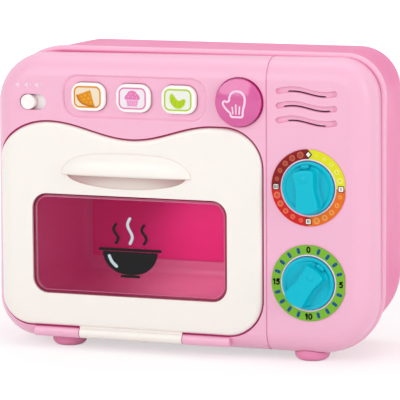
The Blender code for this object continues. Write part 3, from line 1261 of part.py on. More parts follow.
def make_sound_switch():
    plate_front, plate_back = SLIDER_PLATE_FRONT, SLIDER_PLATE_FRONT + SLIDER_PLATE_THICKNESS
    half_plate = SLIDER_TRAVEL + SLIDER_RADIUS + FIT + SLIDER_PLATE_THICKNESS
    knob = rod("slider", SLIDER_X, SLOT_Z, SLIDER_RADIUS, -SLIDER_PROUD,
               plate_front + SLIDER_PLATE_THICKNESS / 2, 28)
    bevel(knob, SLIDER_EDGE_ROUND, 2)
    cover = bar("slider_plate", SLIDER_X - half_plate, SLIDER_X + half_plate,
                SLOT_Z - SLIDER_PLATE_HEIGHT / 2,
                SLOT_Z + SLIDER_PLATE_HEIGHT / 2, plate_front, plate_back)
    lug_end = FUNCTION_BOARD_DEPTH - FIT - SWITCH_DEPTH / 2
    lug = rod("slider_lug", SLIDER_X, SLOT_Z, SWITCH_LUG_RADIUS, plate_front, lug_end, 12)
    join(knob, cover, lug)
    finish_part(knob, "sound_slider", WHITE)
    middle = SLIDER_X + SLIDER_TRAVEL / 2
    body = bar("switch", middle - SWITCH_WIDTH / 2, middle + SWITCH_WIDTH / 2, SLOT_Z - SWITCH_HEIGHT / 2,
               SLOT_Z + SWITCH_HEIGHT / 2, FUNCTION_BOARD_DEPTH - FIT - SWITCH_DEPTH,
               FUNCTION_BOARD_DEPTH - FIT)
    way = bar("switch_way", SLIDER_X - SWITCH_LUG_RADIUS - FIT,
              SLIDER_X + SLIDER_TRAVEL + SWITCH_LUG_RADIUS + FIT,
              SLOT_Z - SWITCH_LUG_RADIUS - FIT, SLOT_Z + SWITCH_LUG_RADIUS + FIT,
              FUNCTION_BOARD_DEPTH - FIT - SWITCH_DEPTH - CUT_OVERRUN, lug_end + FIT)
    cut(body, way)
    finish_part(body, "sound_switch", GREY_STEEL, 1.0)
    return knob


def grip_outline():
    """The knob's grip seen from the front, pointing up, waisted in the middle."""
    right = []
    steps = 7
    length = GRIP_HEAD + GRIP_TAIL
    for i in range(steps + 1):
        share = i / steps
        end = GRIP_TAIL_HALF_WIDTH if share < GRIP_WAIST_SHARE else GRIP_HEAD_HALF_WIDTH
        span = GRIP_WAIST_SHARE if share < GRIP_WAIST_SHARE else 1 - GRIP_WAIST_SHARE
        flare = (1 - math.cos(math.pi * (share - GRIP_WAIST_SHARE) / span)) / 2
        right.append((GRIP_WAIST_HALF_WIDTH + (end - GRIP_WAIST_HALF_WIDTH) * flare,
                      -GRIP_TAIL + length * share))
    left = [(-x, z) for x, z in reversed(right)]
    head = [(x * GRIP_HEAD_HALF_WIDTH, GRIP_HEAD + GRIP_HEAD_ARCH * (1 - x * x))
            for x in GRIP_HEAD_SHARES]
    tail = [(x * GRIP_TAIL_HALF_WIDTH, -GRIP_TAIL - GRIP_TAIL_ARCH * (1 - x * x))
            for x in GRIP_TAIL_SHARES]
    return right + head + left + tail


def make_knob(name, z, pointer):
    """Turned disc with a flange behind the panel and a shaft through the board, and a raised grip."""
    disc_profile = [(0.0, -KNOB_PROUD + KNOB_EDGE_ROUND / 2),
                    (KNOB_RADIUS - 2 * KNOB_EDGE_ROUND, -KNOB_PROUD + KNOB_EDGE_ROUND / 2),
                    (KNOB_RADIUS - KNOB_EDGE_ROUND, -KNOB_PROUD)]
    disc_profile += [(KNOB_RADIUS - KNOB_EDGE_ROUND * (1 - math.sin(a)),
                      -KNOB_PROUD + KNOB_EDGE_ROUND * (1 - math.cos(a)))
                     for a in (math.radians(45), math.radians(90))]
    disc_profile += [(KNOB_RADIUS, KNOB_FLANGE_FRONT), (KNOB_FLANGE_RADIUS, KNOB_FLANGE_FRONT),
                     (KNOB_FLANGE_RADIUS, KNOB_FLANGE_BACK), (KNOB_SHAFT_RADIUS, KNOB_FLANGE_BACK),
                     (KNOB_SHAFT_RADIUS, CONTROL_BOARD_DEPTH + BOARD_THICKNESS),
                     (0.0, CONTROL_BOARD_DEPTH + BOARD_THICKNESS)]
    knob = turned(name, DIAL_X, z, disc_profile, 32)
    grip_front = -KNOB_REACH + GRIP_DOT_HEIGHT
    grip = plate(name + "_grip", [grip_outline()], grip_front, -KNOB_PROUD + KNOB_EDGE_ROUND)
    bevel_front_loop(grip, GRIP_ROUND, 2)
    dot = rod(name + "_dot", 0.0, GRIP_HEAD - GRIP_DOT_INSET, GRIP_DOT_RADIUS, -KNOB_REACH,
              grip_front + GRIP_ROUND, 12)
    bump = plate(name + "_bump", [rounded_box_outline(-BUMP_HALF_WIDTH, BUMP_HALF_WIDTH,
                                                      BUMP_DISTANCE - BUMP_HALF_HEIGHT,
                                                      BUMP_DISTANCE + BUMP_HALF_HEIGHT,
                                                      BUMP_HALF_HEIGHT * ROUND_END_SHARE, 2)],
                 -KNOB_PROUD - BUMP_HEIGHT, 0.0)
    turn = Matrix.Translation((DIAL_X, 0, z)) @ Matrix.Rotation(-pointer, 4, "Y")
    for tool in (grip, dot, bump):
        tool.data.transform(turn)
    join(knob, grip, dot, bump)
    finish_part(knob, name + "_knob", TEAL)

    teeth = []
    count = 2 * DETENT_TEETH
    for i in range(count):
        radius = DETENT_WHEEL_RADIUS - (DETENT_TOOTH if i % 2 else 0.0)
        angle = 2 * math.pi * i / count
        teeth.append((DIAL_X + radius * math.cos(angle), z + radius * math.sin(angle)))
    wheel = plate(name + "_wheel", [teeth, circle(DIAL_X, z, KNOB_SHAFT_RADIUS + FIT)], WHEEL_FRONT,
                  WHEEL_BACK)
    finish_part(wheel, name + "_detent_wheel", WHITE)
    spring_x = DIAL_X + DETENT_WHEEL_RADIUS + FIT
    spring = bar(name + "_spring", spring_x, spring_x + DETENT_SPRING_THICKNESS,
                 z - DETENT_SPRING_LENGTH / 2,
                 z + DETENT_SPRING_LENGTH / 2, CONTROL_BOARD_DEPTH - FIT - DETENT_SPRING_WIDTH,
                 CONTROL_BOARD_DEPTH - FIT)
    finish_part(spring, name + "_detent_spring", GREY_STEEL, 1.0)
    return knob, wheel


def make_dial_label(name, z, colour):
    steps = 48
    outer = []
    for x, height in arc(DIAL_X, z, LABEL_OUTER_RADIUS, LABEL_OUTER_RADIUS, 90, 450, steps)[:-1]:
        outer.append((min(x, DIAL_X + LABEL_OUTER_RADIUS - LABEL_FLAT), height))
    outer[0] = (DIAL_X, z + LABEL_OUTER_RADIUS - LABEL_NOTCH)
    ring = plate(name + "_ring", [outer, circle(DIAL_X, z, LABEL_INNER_RADIUS, 40)],
                 -FIT - LABEL_THICKNESS, -FIT)
    return finish_part(ring, name + "_label", (colour, 0.35))


def make_boards():
    control = plate("control", [rounded_box_outline(CONTROL_BOARD_LEFT, CONTROL_BOARD_RIGHT,
                                                    CONTROL_BOARD_BOTTOM,
                                                    CONTROL_BOARD_TOP, BOARD_CORNER, 3)],
                    CONTROL_BOARD_DEPTH, CONTROL_BOARD_DEPTH + BOARD_THICKNESS)
    for name, z in DIAL_HEIGHTS.items():
        cut(control, rod(name + "_board_hole", DIAL_X, z, KNOB_SHAFT_RADIUS + FIT,
                         CONTROL_BOARD_DEPTH - CUT_OVERRUN,
                         CONTROL_BOARD_DEPTH + BOARD_THICKNESS + CUT_OVERRUN, 20))
    function = plate("function", [rounded_box_outline(FUNCTION_BOARD_LEFT, FUNCTION_BOARD_RIGHT,
                                                      FUNCTION_BOARD_Z - FUNCTION_BOARD_HALF_HEIGHT,
                                                      FUNCTION_BOARD_Z + FUNCTION_BOARD_HALF_HEIGHT,
                                                      BOARD_CORNER, 3)],
                     FUNCTION_BOARD_DEPTH, FUNCTION_BOARD_DEPTH + BOARD_THICKNESS)
    for board, places, depth, name in ((control, control_posts(), CONTROL_BOARD_DEPTH, "control"),
                                       (function, FUNCTION_POST_PLACES, FUNCTION_BOARD_DEPTH,
                                        "function")):
        for i, (x, z) in enumerate(places):
            cut(board, rod(f"{name}_board_screw_hole_{i}", x, z, SCREW_HOLE_RADIUS, depth - CUT_OVERRUN,
                           depth + BOARD_THICKNESS + CUT_OVERRUN, 12))
            screw(f"{name}_board_screw_{i + 1}", x, z, depth + BOARD_THICKNESS + FIT, BOARD_SCREW_LENGTH)
    finish_part(control, "control_board", BOARD_GREEN)
    finish_part(function, "function_board", BOARD_GREEN)

    chip_depth = CONTROL_BOARD_DEPTH + BOARD_THICKNESS + FIT
    drop = [(CHIP_RADIUS * out, chip_depth + CHIP_HEIGHT * up) for out, up in CHIP_SHARES]
    chip = turned("chip", DIAL_X, (TEMPERATURE_Z + TIMER_Z) / 2,
                  [(0.0, chip_depth)] + drop + [(0.0, chip_depth + CHIP_HEIGHT)], 20)
    finish_part(chip, "sound_chip", DARK)

    pad_bottom, pad_top = BUTTON_Z - PAD_HALF_HEIGHT, BUTTON_Z + PAD_HALF_HEIGHT
    first = BUTTON_MIDDLE_X - BUTTON_PITCH - BUTTON_WIDTH / 2
    pad = bar("pad", first, BUTTON_MIDDLE_X + BUTTON_PITCH + BUTTON_WIDTH / 2, pad_bottom - PAD_THICKNESS,
              pad_top, PAD_FRONT, PAD_FRONT + PAD_THICKNESS)
    for name, x in button_places():
        join(pad, rod(name + "_dome", x, BUTTON_Z, DOME_RADIUS, DOME_TOP, PAD_FRONT + PAD_THICKNESS / 2,
                      16))
    finish_part(pad, "button_pad", SILICONE)
    mitt_pad = rod("mitt_pad", MITT_X, MITT_Z - MITT_POST_DROP, DOME_RADIUS, DOME_TOP,
                   FUNCTION_BOARD_DEPTH - FIT, 16)
    bevel(mitt_pad, DOME_RADIUS / 4, 2)
    finish_part(mitt_pad, "mitt_pad", SILICONE)
    led_foot = FUNCTION_BOARD_DEPTH - FIT
    lens = [(LAMP_RADIUS * out, led_foot - LED_HEIGHT * up) for out, up in LED_SHARES]
    led = turned("led", MITT_X, MITT_Z + DOME_RADIUS,
                 [(0.0, led_foot - LED_HEIGHT)] + lens + [(0.0, led_foot)], 16)
    finish_part(led, "mitt_light", WHITE)


def screw(name, x, z, head_front, length):
    """A pan head screw driven towards the front: its head lies behind head_front."""
    head_back = head_front + SCREW_HEAD
    profile = [(0.0, head_front - length), (SCREW_RADIUS, head_front - length + SCREW_RADIUS),
               (SCREW_RADIUS, head_front), (SCREW_HEAD_RADIUS, head_front),
               (SCREW_HEAD_RADIUS, head_front + SCREW_HEAD / 2),
               (SCREW_HEAD_RADIUS * SCREW_CROWN_SHARE, head_back),
               (0.0, head_back)]
    return finish_part(turned(name, x, z, profile, 8), name, GREY_STEEL, 1.0)


def make_screws():
    for i, (x, z) in enumerate(CASE_SCREW_PLACES):
        length = CASE_SEAT_DEPTH + FIT - CASE_BOSS_BACK + CASE_SCREW_BITE
        screw(f"case_screw_{i + 1}", x, z, CASE_SEAT_DEPTH + FIT, length)
    for i, (x, z) in enumerate(door_screw_places()):
        screw(f"door_screw_{i + 1}", x, z, DOOR_BACK - SCREW_HEAD * SCREW_SUNK_SHARE + FIT,
              DOOR_SCREW_LENGTH)


def make_speaker():
    back = SPEAKER_FRONT + SPEAKER_DEPTH
    sheet = SPEAKER_SHEET
    neck = MAGNET_RADIUS
    basket = turned("basket", GRILLE_X, GRILLE_Z,
                    [(SPEAKER_RADIUS, SPEAKER_FRONT), (SPEAKER_RADIUS, SPEAKER_FRONT + 2 * sheet),
                     (neck + sheet, back), (neck / 2, back), (neck / 2, back - sheet),
                     (neck, back - sheet),
                     (SPEAKER_RADIUS - 2 * sheet, SPEAKER_FRONT + sheet),
                     (SPEAKER_RADIUS - 2 * sheet, SPEAKER_FRONT)], 20)
    finish_part(basket, "speaker_basket", GREY_STEEL, 1.0)
    rim = SPEAKER_RADIUS - 2 * sheet - FIT
    thin = SPEAKER_CONE_SHEET
    cone = turned("cone", GRILLE_X, GRILLE_Z,
                  [(0.0, back - 3 * sheet - thin), (neck / 2, back - 3 * sheet - thin),
                   (rim - 2 * thin, SPEAKER_FRONT), (rim, SPEAKER_FRONT), (rim, SPEAKER_FRONT + thin),
                   (neck / 2, back - 3 * sheet), (0.0, back - 3 * sheet)], 20)
    finish_part(cone, "speaker_cone", DARK)
    magnet = rod("speaker_magnet_blank", GRILLE_X, GRILLE_Z, MAGNET_RADIUS, back + FIT,
                 back + FIT + MAGNET_LENGTH, 16)
    bevel(magnet, sheet, 2)
    finish_part(magnet, "speaker_magnet", GREY_STEEL, 1.0)


def make_battery_bay():
    tray = bar("tray", HATCH_LEFT - TRAY_LIP, HATCH_RIGHT + TRAY_LIP, HATCH_BOTTOM - TRAY_LIP,
               HATCH_TOP + TRAY_LIP,
               TRAY_FRONT, TRAY_BACK)
    half_room = CELL_PITCH / 2 + CELL_RADIUS + SLIDING_GAP
    room = bar("battery_room", BATTERY_LEFT, BATTERY_RIGHT, HATCH_Z - half_room, HATCH_Z + half_room,
               TRAY_FRONT + TRAY_WALL, TRAY_BACK + CUT_OVERRUN)
    pilot = rod("hatch_pilot", HATCH_SCREW_X, HATCH_Z, SCREW_RADIUS + FIT, TRAY_BACK - HATCH_SCREW_LENGTH,
                TRAY_BACK + CUT_OVERRUN, 12)
    cut(tray, room, pilot)
    finish_part(tray, "battery_tray", PINK)
    gap = SLIDING_GAP
    hatch = plate("hatch", [rounded_box_outline(HATCH_LEFT + gap, HATCH_RIGHT - gap, HATCH_BOTTOM + gap,
                                                HATCH_TOP - gap,
                                                HATCH_RADIUS, 4)], TRAY_BACK + FIT, BODY_DEPTH)
    seat = BODY_DEPTH - SCREW_HEAD - FIT
    cut(hatch, rod("hatch_screw_hole", HATCH_SCREW_X, HATCH_Z, SCREW_HOLE_RADIUS, TRAY_BACK,
                   BODY_DEPTH + CUT_OVERRUN, 12),
        rod("hatch_head_hole", HATCH_SCREW_X, HATCH_Z, SCREW_HEAD_RADIUS + FIT, seat,
            BODY_DEPTH + CUT_OVERRUN, 16))
    finish_part(hatch, "battery_door", PINK)
    screw("battery_door_screw", HATCH_SCREW_X, HATCH_Z, seat + FIT, HATCH_SCREW_LENGTH)
    middle = (BATTERY_LEFT + BATTERY_RIGHT) / 2
    for i, (side, turn) in enumerate(((-1, 1), (1, -1))):
        z = HATCH_Z + side * CELL_PITCH / 2
        cell = battery_cell(f"cell_{i}", middle, z, turn)
        finish_part(cell, f"battery_cell_{i + 1}", GREY_STEEL, 0.6)
    for name, edge, towards in (("left", BATTERY_LEFT, 1), ("right", BATTERY_RIGHT, -1)):
        near, far = sorted((edge + towards * FIT, edge + towards * (FIT + CONTACT_THICKNESS)))
        contact = bar(name + "_contact", near, far, HATCH_Z - CONTACT_WIDTH / 2,
                      HATCH_Z + CONTACT_WIDTH / 2,
                      CELL_DEPTH - CONTACT_HEIGHT / 2, CELL_DEPTH + CONTACT_HEIGHT / 2)
        for side in (-1, 1):
            tip = middle + towards * -1 * (CELL_LENGTH / 2 + CELL_NUB + FIT)
            low, high = sorted((edge + towards * (FIT + CONTACT_THICKNESS / 2), tip))
            join(contact, cross_rod(f"{name}_bump_{side}", low, high, CELL_DEPTH,
                                    HATCH_Z + side * CELL_PITCH / 2,
                                    CONTACT_BUMP_RADIUS, 12))
        finish_part(contact, "battery_contact_" + name, GREY_STEEL, 1.0)


def battery_cell(name, x, z, turn):
    """A cylindrical cell along X with its nub at one end."""
    half, nub = CELL_LENGTH / 2, CELL_NUB_RADIUS
    body = cross_rod(name, x - half, x + half, CELL_DEPTH, z, CELL_RADIUS, 24)
    start, end = sorted((x + turn * (half - CELL_NUB), x + turn * (half + CELL_NUB)))
    return join(body, cross_rod(name + "_nub", start, end, CELL_DEPTH, z, nub, 12))


def make_feet():
    body_form = housing_block("foot_body_form", FIT)
    rear_form = rear_block("foot_rear_form", FIT)
    bead_form = rim_bead("foot_bead_form", RIM_RADIUS + FIT)
    places = (("front", FOOT_SPREAD_FRONT, FOOT_FRONT_DEPTH), ("rear", FOOT_SPREAD_REAR, FOOT_REAR_DEPTH))
    for end, spread, depth in places:
        for side, name in ((-1, "left"), (1, "right")):
            bpy.ops.mesh.primitive_cylinder_add(vertices=24, radius=FOOT_RADIUS, depth=FOOT_BLANK_HEIGHT)
            foot = bpy.context.active_object
            round_lower_edge(foot.data, FOOT_ROUND, 2)
            foot.data.transform(Matrix.Translation((side * spread, behind(depth), FOOT_BLANK_HEIGHT / 2)))
            adopt(foot, f"foot_{end}_{name}")
            if end == "front":
                cut(foot, body_form, bead_form)
            cut(foot, rear_form)
            floor = BODY_BOTTOM + WALL + FOOT_SPIGOT_RISE
            bpy.ops.mesh.primitive_cylinder_add(vertices=16, radius=FOOT_SPIGOT_RADIUS,
                                                depth=floor - FOOT_ROUND)
            spigot = adopt(bpy.context.active_object, f"spigot_{end}_{name}")
            spigot.data.transform(Matrix.Translation((side * spread, behind(depth),
                                                      (floor + FOOT_ROUND) / 2)))
            join(foot, spigot)
            finish_part(foot, f"foot_{end}_{name}", PINK)


def round_lower_edge(mesh, radius, segments):
    """Rounds the bottom edge of an upright cylinder's mesh."""
    shaped = bmesh.new()
    shaped.from_mesh(mesh)
    lowest = min(vertex.co.z for vertex in shaped.verts)
    edges = [edge for edge in shaped.edges if all(vertex.co.z < lowest + WELD for vertex in edge.verts)]
    bmesh.ops.bevel(shaped, geom=edges, offset=radius, segments=segments, profile=0.5, affect="EDGES")
    shaped.to_mesh(mesh)
    shaped.free()


def place_on_axis(parts, name, point):
    """Parents moving pieces to an empty on their joint's axis, without moving them."""
    axis = bpy.data.objects.new(name, None)
    axis.location = point
    PARTS.objects.link(axis)
    for part in parts:
        part.parent = axis
        part.matrix_parent_inverse = Matrix.Translation(point).inverted()


def build():
    make_bezel()
    make_rear_housing()
    make_cavity_liner()
    make_cavity_fittings()
    door = [make_door_skin()]
    make_door_inside()
    door += [PARTS.objects[name] for name in ("door_inner_frame", "door_window_pane",
                                              "door_catch_magnet")]
    for part, point in make_recipe_buttons():
        place_on_axis([part], part.name + "_slide", point)
    place_on_axis([make_mitt_button()], "mitt_slide", (MITT_X, FACE_Y, MITT_Z))
    place_on_axis([make_sound_switch()], "sound_slide", (SLIDER_X, FACE_Y, SLOT_Z))
    for name, z in DIAL_HEIGHTS.items():
        parts = make_knob(name, z, DIAL_POINTERS[name])
        place_on_axis(list(parts), name + "_axis", (DIAL_X, FACE_Y, z))
    make_dial_label("temperature", TEMPERATURE_Z, "F0701E")
    make_dial_label("timer", TIMER_Z, "84BF38")
    make_boards()
    make_screws()
    door += [PARTS.objects[f"door_screw_{i + 1}"] for i in range(len(door_screw_places()))]
    place_on_axis(door, "door_hinge_axis", (0.0, behind(HINGE_DEPTH), HINGE_Z))
    make_speaker()
    make_battery_bay()
    make_feet()


build()
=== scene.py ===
import json
from math import atan2, cos, degrees, hypot, pi, radians, sin, sqrt

import bmesh
import bpy
from mathutils import Matrix, Vector
from mathutils.bvhtree import BVHTree

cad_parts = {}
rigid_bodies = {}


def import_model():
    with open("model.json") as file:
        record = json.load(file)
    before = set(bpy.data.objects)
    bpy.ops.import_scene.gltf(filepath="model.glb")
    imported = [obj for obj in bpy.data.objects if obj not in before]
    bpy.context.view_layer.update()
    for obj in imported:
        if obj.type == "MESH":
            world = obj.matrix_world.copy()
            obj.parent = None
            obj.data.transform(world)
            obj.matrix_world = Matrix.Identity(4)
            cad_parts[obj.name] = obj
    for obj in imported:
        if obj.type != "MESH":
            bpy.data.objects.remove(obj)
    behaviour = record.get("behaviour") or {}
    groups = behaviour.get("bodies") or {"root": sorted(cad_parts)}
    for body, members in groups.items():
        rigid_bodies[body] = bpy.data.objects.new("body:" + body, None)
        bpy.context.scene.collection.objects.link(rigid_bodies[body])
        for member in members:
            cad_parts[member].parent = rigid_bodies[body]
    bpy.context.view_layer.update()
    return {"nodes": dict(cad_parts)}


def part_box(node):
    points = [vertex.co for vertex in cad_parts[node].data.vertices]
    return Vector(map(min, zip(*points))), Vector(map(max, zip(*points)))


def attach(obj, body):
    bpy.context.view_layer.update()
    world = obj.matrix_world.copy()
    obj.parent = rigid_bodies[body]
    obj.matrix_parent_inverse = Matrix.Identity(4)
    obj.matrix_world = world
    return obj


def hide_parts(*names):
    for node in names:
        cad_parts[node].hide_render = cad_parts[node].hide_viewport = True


# Toy microwave oven: finer moulded shells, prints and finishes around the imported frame.
# Shapes are worked out in millimetres and turned to metres when a piece is settled.
# X runs to the right, depth is counted backwards from the flat front face, Z is up.

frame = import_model()
mm = 0.001
clearance = 0.3                       # gap between neighbouring mouldings
overrun = 2.0                         # how far a cutter passes what it opens
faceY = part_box("temperature_label")[1].y / mm + clearance

tools = bpy.data.collections.new("tools")
bpy.context.scene.collection.children.link(tools)


def nodeBox(name):                    # left, right, front depth, back depth, bottom, top in mm
    low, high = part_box(name)
    return (low.x / mm, high.x / mm, low.y / mm - faceY, high.y / mm - faceY, low.z / mm, high.z / mm)


def addTool(name, mesh):
    made = bpy.data.objects.new(name, mesh)
    tools.objects.link(made)
    made.hide_render = True
    return made


def meshFrom(name, shaped, recalculate=True):
    if recalculate:
        bmesh.ops.recalc_face_normals(shaped, faces=shaped.faces)
    mesh = bpy.data.meshes.new(name)
    shaped.to_mesh(mesh)
    shaped.free()
    return mesh


def arc(centreX, centreZ, radiusX, radiusZ, start, end, steps):
    angles = [radians(start + (end - start) * i / steps) for i in range(steps + 1)]
    return [(centreX + radiusX * cos(a), centreZ + radiusZ * sin(a)) for a in angles]


def circle(x, z, radius, steps=64):
    return arc(x, z, radius, radius, 0, 360, steps)[:-1]


def roundedBox(left, right, bottom, top, radius, steps=10, grow=0.0):
    near, far, low, high = left + radius, right - radius, bottom + radius, top - radius
    corners = ((near, low, 180), (far, low, 270), (far, high, 0), (near, high, 90))
    radius += grow
    return [point for x, z, turn in corners for point in arc(x, z, radius, radius, turn, turn + 90, steps)]


def centredBox(x, z, halfWidth, halfHeight, radius, steps=10, grow=0.0):
    return roundedBox(x - halfWidth, x + halfWidth, z - halfHeight, z + halfHeight, radius, steps, grow)


def roundedQuad(corners, radii, inset, steps=14):
    # A four-cornered outline moved inwards, with its own radius at each corner
    points = []
    for i, corner in enumerate(corners):
        here = Vector(corner)
        before = (Vector(corners[i - 1]) - here).normalized()
        after = (Vector(corners[(i + 1) % 4]) - here).normalized()
        half = before.angle(after) / 2
        radius = max(radii[i] - inset, 0.2)
        centre = here + (before + after).normalized() * ((inset + radius) / sin(half))
        first = centre + Vector((-before.y, before.x)) * radius
        start = degrees(atan2(first.y - centre.y, first.x - centre.x))
        points += arc(centre.x, centre.y, radius, radius, start, start + 180 - 2 * degrees(half), steps)
    return points


def grown(points, distance):          # an outline moved outwards along its normals
    wider = []
    for i, point in enumerate(points):
        before, after = points[i - 1], points[(i + 1) % len(points)]
        along = Vector((after[0] - before[0], after[1] - before[1])).normalized()
        wider.append((point[0] + along.y * distance, point[1] - along.x * distance))
    return wider


def softened(points, spacing, reach):
    # Evenly spaced points of a closed outline, each averaged with its neighbours to round the corners
    closed = [Vector(point) for point in points] + [Vector(points[0])]
    lengths = [(b - a).length for a, b in zip(closed, closed[1:])]
    count = max(int(sum(lengths) / spacing), 12)
    even, piece, done = [], 0, 0.0
    for i in range(count):
        along = sum(lengths) * i / count
        while done + lengths[piece] < along:
            done += lengths[piece]
            piece += 1
        even.append(closed[piece].lerp(closed[piece + 1], (along - done) / lengths[piece]))
    span = max(int(reach / spacing), 1)
    return [tuple(sum((even[(i + k) % count] for k in range(-span, span + 1)), Vector((0, 0))) / (2 * span + 1))
            for i in range(count)]


def smoothLine(points, steps=6):      # Catmull-Rom curve through the points
    line = []
    for i in range(len(points) - 1):
        a, b, c, d = (Vector(points[min(max(i + k, 0), len(points) - 1)]) for k in (-1, 0, 1, 2))
        for k in range(steps):
            t = k / steps
            line.append(tuple(0.5 * (2 * b + (c - a) * t + (2 * a - 5 * b + 4 * c - d) * t * t
                                     + (3 * b - a - 3 * c + d) * t * t * t)))
    return line + [tuple(points[-1])]


def stroke(points, width, steps=5):   # outline of a brush line with round ends
    line = [Vector(point) for point in smoothLine(points, steps)]
    half, left, right = width / 2, [], []
    for i, point in enumerate(line):
        along = (line[min(i + 1, len(line) - 1)] - line[max(i - 1, 0)]).normalized()
        side = Vector((-along.y, along.x)) * half
        left.append(tuple(point + side))
        right.append(tuple(point - side))
    ends = []
    for point, toward in ((line[-1], line[-1] - line[-2]), (line[0], line[0] - line[1])):
        turn = degrees(atan2(toward.y, toward.x))
        ends.append(arc(point.x, point.y, half, half, turn - 90, turn + 90, 8)[1:-1])
    return right + ends[0] + left[::-1] + ends[1]


def moved(points, x, z, scale=1.0):
    return [(x + px * scale, z + pz * scale) for px, pz in points]


def skinned(name, rows, closed=False, merge=False):
    # A body through rings of points: a ring of one point is a tip, and closed rows meet again like a tyre
    shaped = bmesh.new()
    rows = [[shaped.verts.new(point) for point in row] for row in rows]
    for near, far in zip([rows[-1]] + rows, rows) if closed else zip(rows, rows[1:]):
        for i in range(max(len(near), len(far))):
            corners = (near[(i - 1) % len(near)], near[i % len(near)], far[i % len(far)], far[(i - 1) % len(far)])
            shaped.faces.new(list(dict.fromkeys(corners)))
    for row in () if closed else (rows[0], rows[-1]):
        if len(row) > 1:
            shaped.faces.new(row)
    if merge:
        bmesh.ops.remove_doubles(shaped, verts=shaped.verts, dist=0.0001)
    return addTool(name, meshFrom(name, shaped))


def loft(name, rings):                # outlines of equal length, each at its depth
    return skinned(name, [[(x, faceY + depth, z) for x, z in outline] for outline, depth in rings], merge=True)


def turned(name, x, z, profile, steps=64, upright=False):
    # The profile's points are (radius, depth), or (radius, height) about an upright axis
    rows = []
    for radius, along in profile:
        ring = circle(0, 0, radius, steps) if radius > 0 else [(0, 0)]
        rows.append([(x + a, faceY + z + b, along) if upright else (x + a, faceY + along, z + b) for a, b in ring])
    return skinned(name, rows)


def roundedEdge(outlineAt, radius, front, steps=6):
    # Rings from the side of a block round to its front face
    return [(outlineAt(inset), front + radius - lift)
            for inset, lift in ((radius * (1 - cos(a)), radius * sin(a))
                                for a in (radians(90 * i / steps) for i in range(steps + 1)))]


def plate(name, outlines, front, back):       # the first outline is the edge, the others are holes
    curve = bpy.data.curves.new(name, "CURVE")
    curve.dimensions, curve.fill_mode, curve.extrude = "2D", "BOTH", (back - front) / 2
    for outline in outlines:
        spline = curve.splines.new("POLY")
        spline.points.add(len(outline) - 1)
        for point, (x, z) in zip(spline.points, outline):
            point.co = (x, z, 0.0, 1.0)
        spline.use_cyclic_u = True
    source = bpy.data.objects.new(name, curve)
    mesh = bpy.data.meshes.new_from_object(source)
    bpy.data.objects.remove(source)
    shaped = bmesh.new()
    shaped.from_mesh(mesh)
    bmesh.ops.remove_doubles(shaped, verts=shaped.verts, dist=0.001)
    bmesh.ops.dissolve_limit(shaped, angle_limit=radians(0.2), verts=[], edges=shaped.edges)
    mesh = meshFrom(name, shaped)
    mesh.transform(Matrix.Translation((0, faceY + (front + back) / 2, 0)) @ Matrix.Rotation(pi / 2, 4, "X"))
    return addTool(name, mesh)


def block(name, left, right, bottom, top, front, back):
    shaped = bmesh.new()
    bmesh.ops.create_cube(shaped, size=1)
    mesh = meshFrom(name, shaped)
    mesh.transform(Matrix.Translation(((left + right) / 2, faceY + (front + back) / 2, (bottom + top) / 2))
                   @ Matrix.Diagonal((right - left, back - front, top - bottom, 1)))
    return addTool(name, mesh)


def rodBetween(name, start, end, radius, steps=32):       # points are (x, depth, z)
    a, b = (Vector((x, faceY + depth, z)) for x, depth, z in (start, end))
    shaped = bmesh.new()
    bmesh.ops.create_cone(shaped, cap_ends=True, segments=steps, radius1=radius, radius2=radius,
                          depth=(b - a).length)
    mesh = meshFrom(name, shaped)
    mesh.transform(Matrix.Translation((a + b) / 2) @ (b - a).to_track_quat("Z", "Y").to_matrix().to_4x4())
    return addTool(name, mesh)


def rod(name, x, z, radius, front, back, steps=48):
    return rodBetween(name, (x, front, z), (x, back, z), radius, steps)


def combine(target, operation, others):
    for other in others:
        modifier = target.modifiers.new(other.name, "BOOLEAN")
        modifier.operation, modifier.solver, modifier.object = operation, "MANIFOLD", other


def cut(target, *others):
    combine(target, "DIFFERENCE", others)


def join(target, *others):
    combine(target, "UNION", others)


def keep(target, form):
    combine(target, "INTERSECT", [form])


def soften(shape, width, segments=2, angle=45):
    bevel = shape.modifiers.new("softEdge", "BEVEL")
    bevel.width, bevel.segments, bevel.use_clamp_overlap = width, segments, True
    bevel.limit_method, bevel.angle_limit = "ANGLE", radians(angle)


def evaluated(shape):
    bpy.context.view_layer.update()
    graph = bpy.context.evaluated_depsgraph_get()
    return bpy.data.meshes.new_from_object(shape.evaluated_get(graph), preserve_all_data_layers=True, depsgraph=graph)


def settle(name, shape, body, finish, replaces=(), sharp=32):
    # Applies the modifiers, turns millimetres to metres, puts the piece on its body and clears the tools
    mesh = evaluated(shape)
    mesh.transform(shape.matrix_world)
    mesh.transform(Matrix.Scale(mm, 4))
    mesh.materials.clear()
    piece = bpy.data.objects.new(name, mesh)
    bpy.context.scene.collection.objects.link(piece)
    mesh.shade_smooth()
    mesh.set_sharp_from_angle(angle=radians(sharp))
    weighted = piece.modifiers.new("evenShading", "WEIGHTED_NORMAL")
    weighted.keep_sharp, weighted.weight = True, 80
    piece.data = evaluated(piece)
    piece.modifiers.clear()
    piece.data.name = name
    piece.data.materials.append(finish)
    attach(piece, body)
    if replaces:
        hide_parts(*replaces)
    for made in list(tools.objects):
        bpy.data.objects.remove(made)
    return piece


def surfaceOf(piece):                 # for laying prints on a curved piece
    mesh = piece.data
    return BVHTree.FromPolygons([v.co / mm for v in mesh.vertices], [p.vertices for p in mesh.polygons])


def layOn(shape, surface, front=-20.0):
    # Keeps each point's height above depth 0 and drops the shape on the surface from the front
    mesh = evaluated(shape)
    shape.modifiers.clear()
    shape.data = mesh
    for vertex in mesh.vertices:
        hit = surface.ray_cast(Vector((vertex.co.x, faceY + front, vertex.co.z)), Vector((0, 1, 0)))[0]
        if hit:
            vertex.co.y += hit.y - faceY


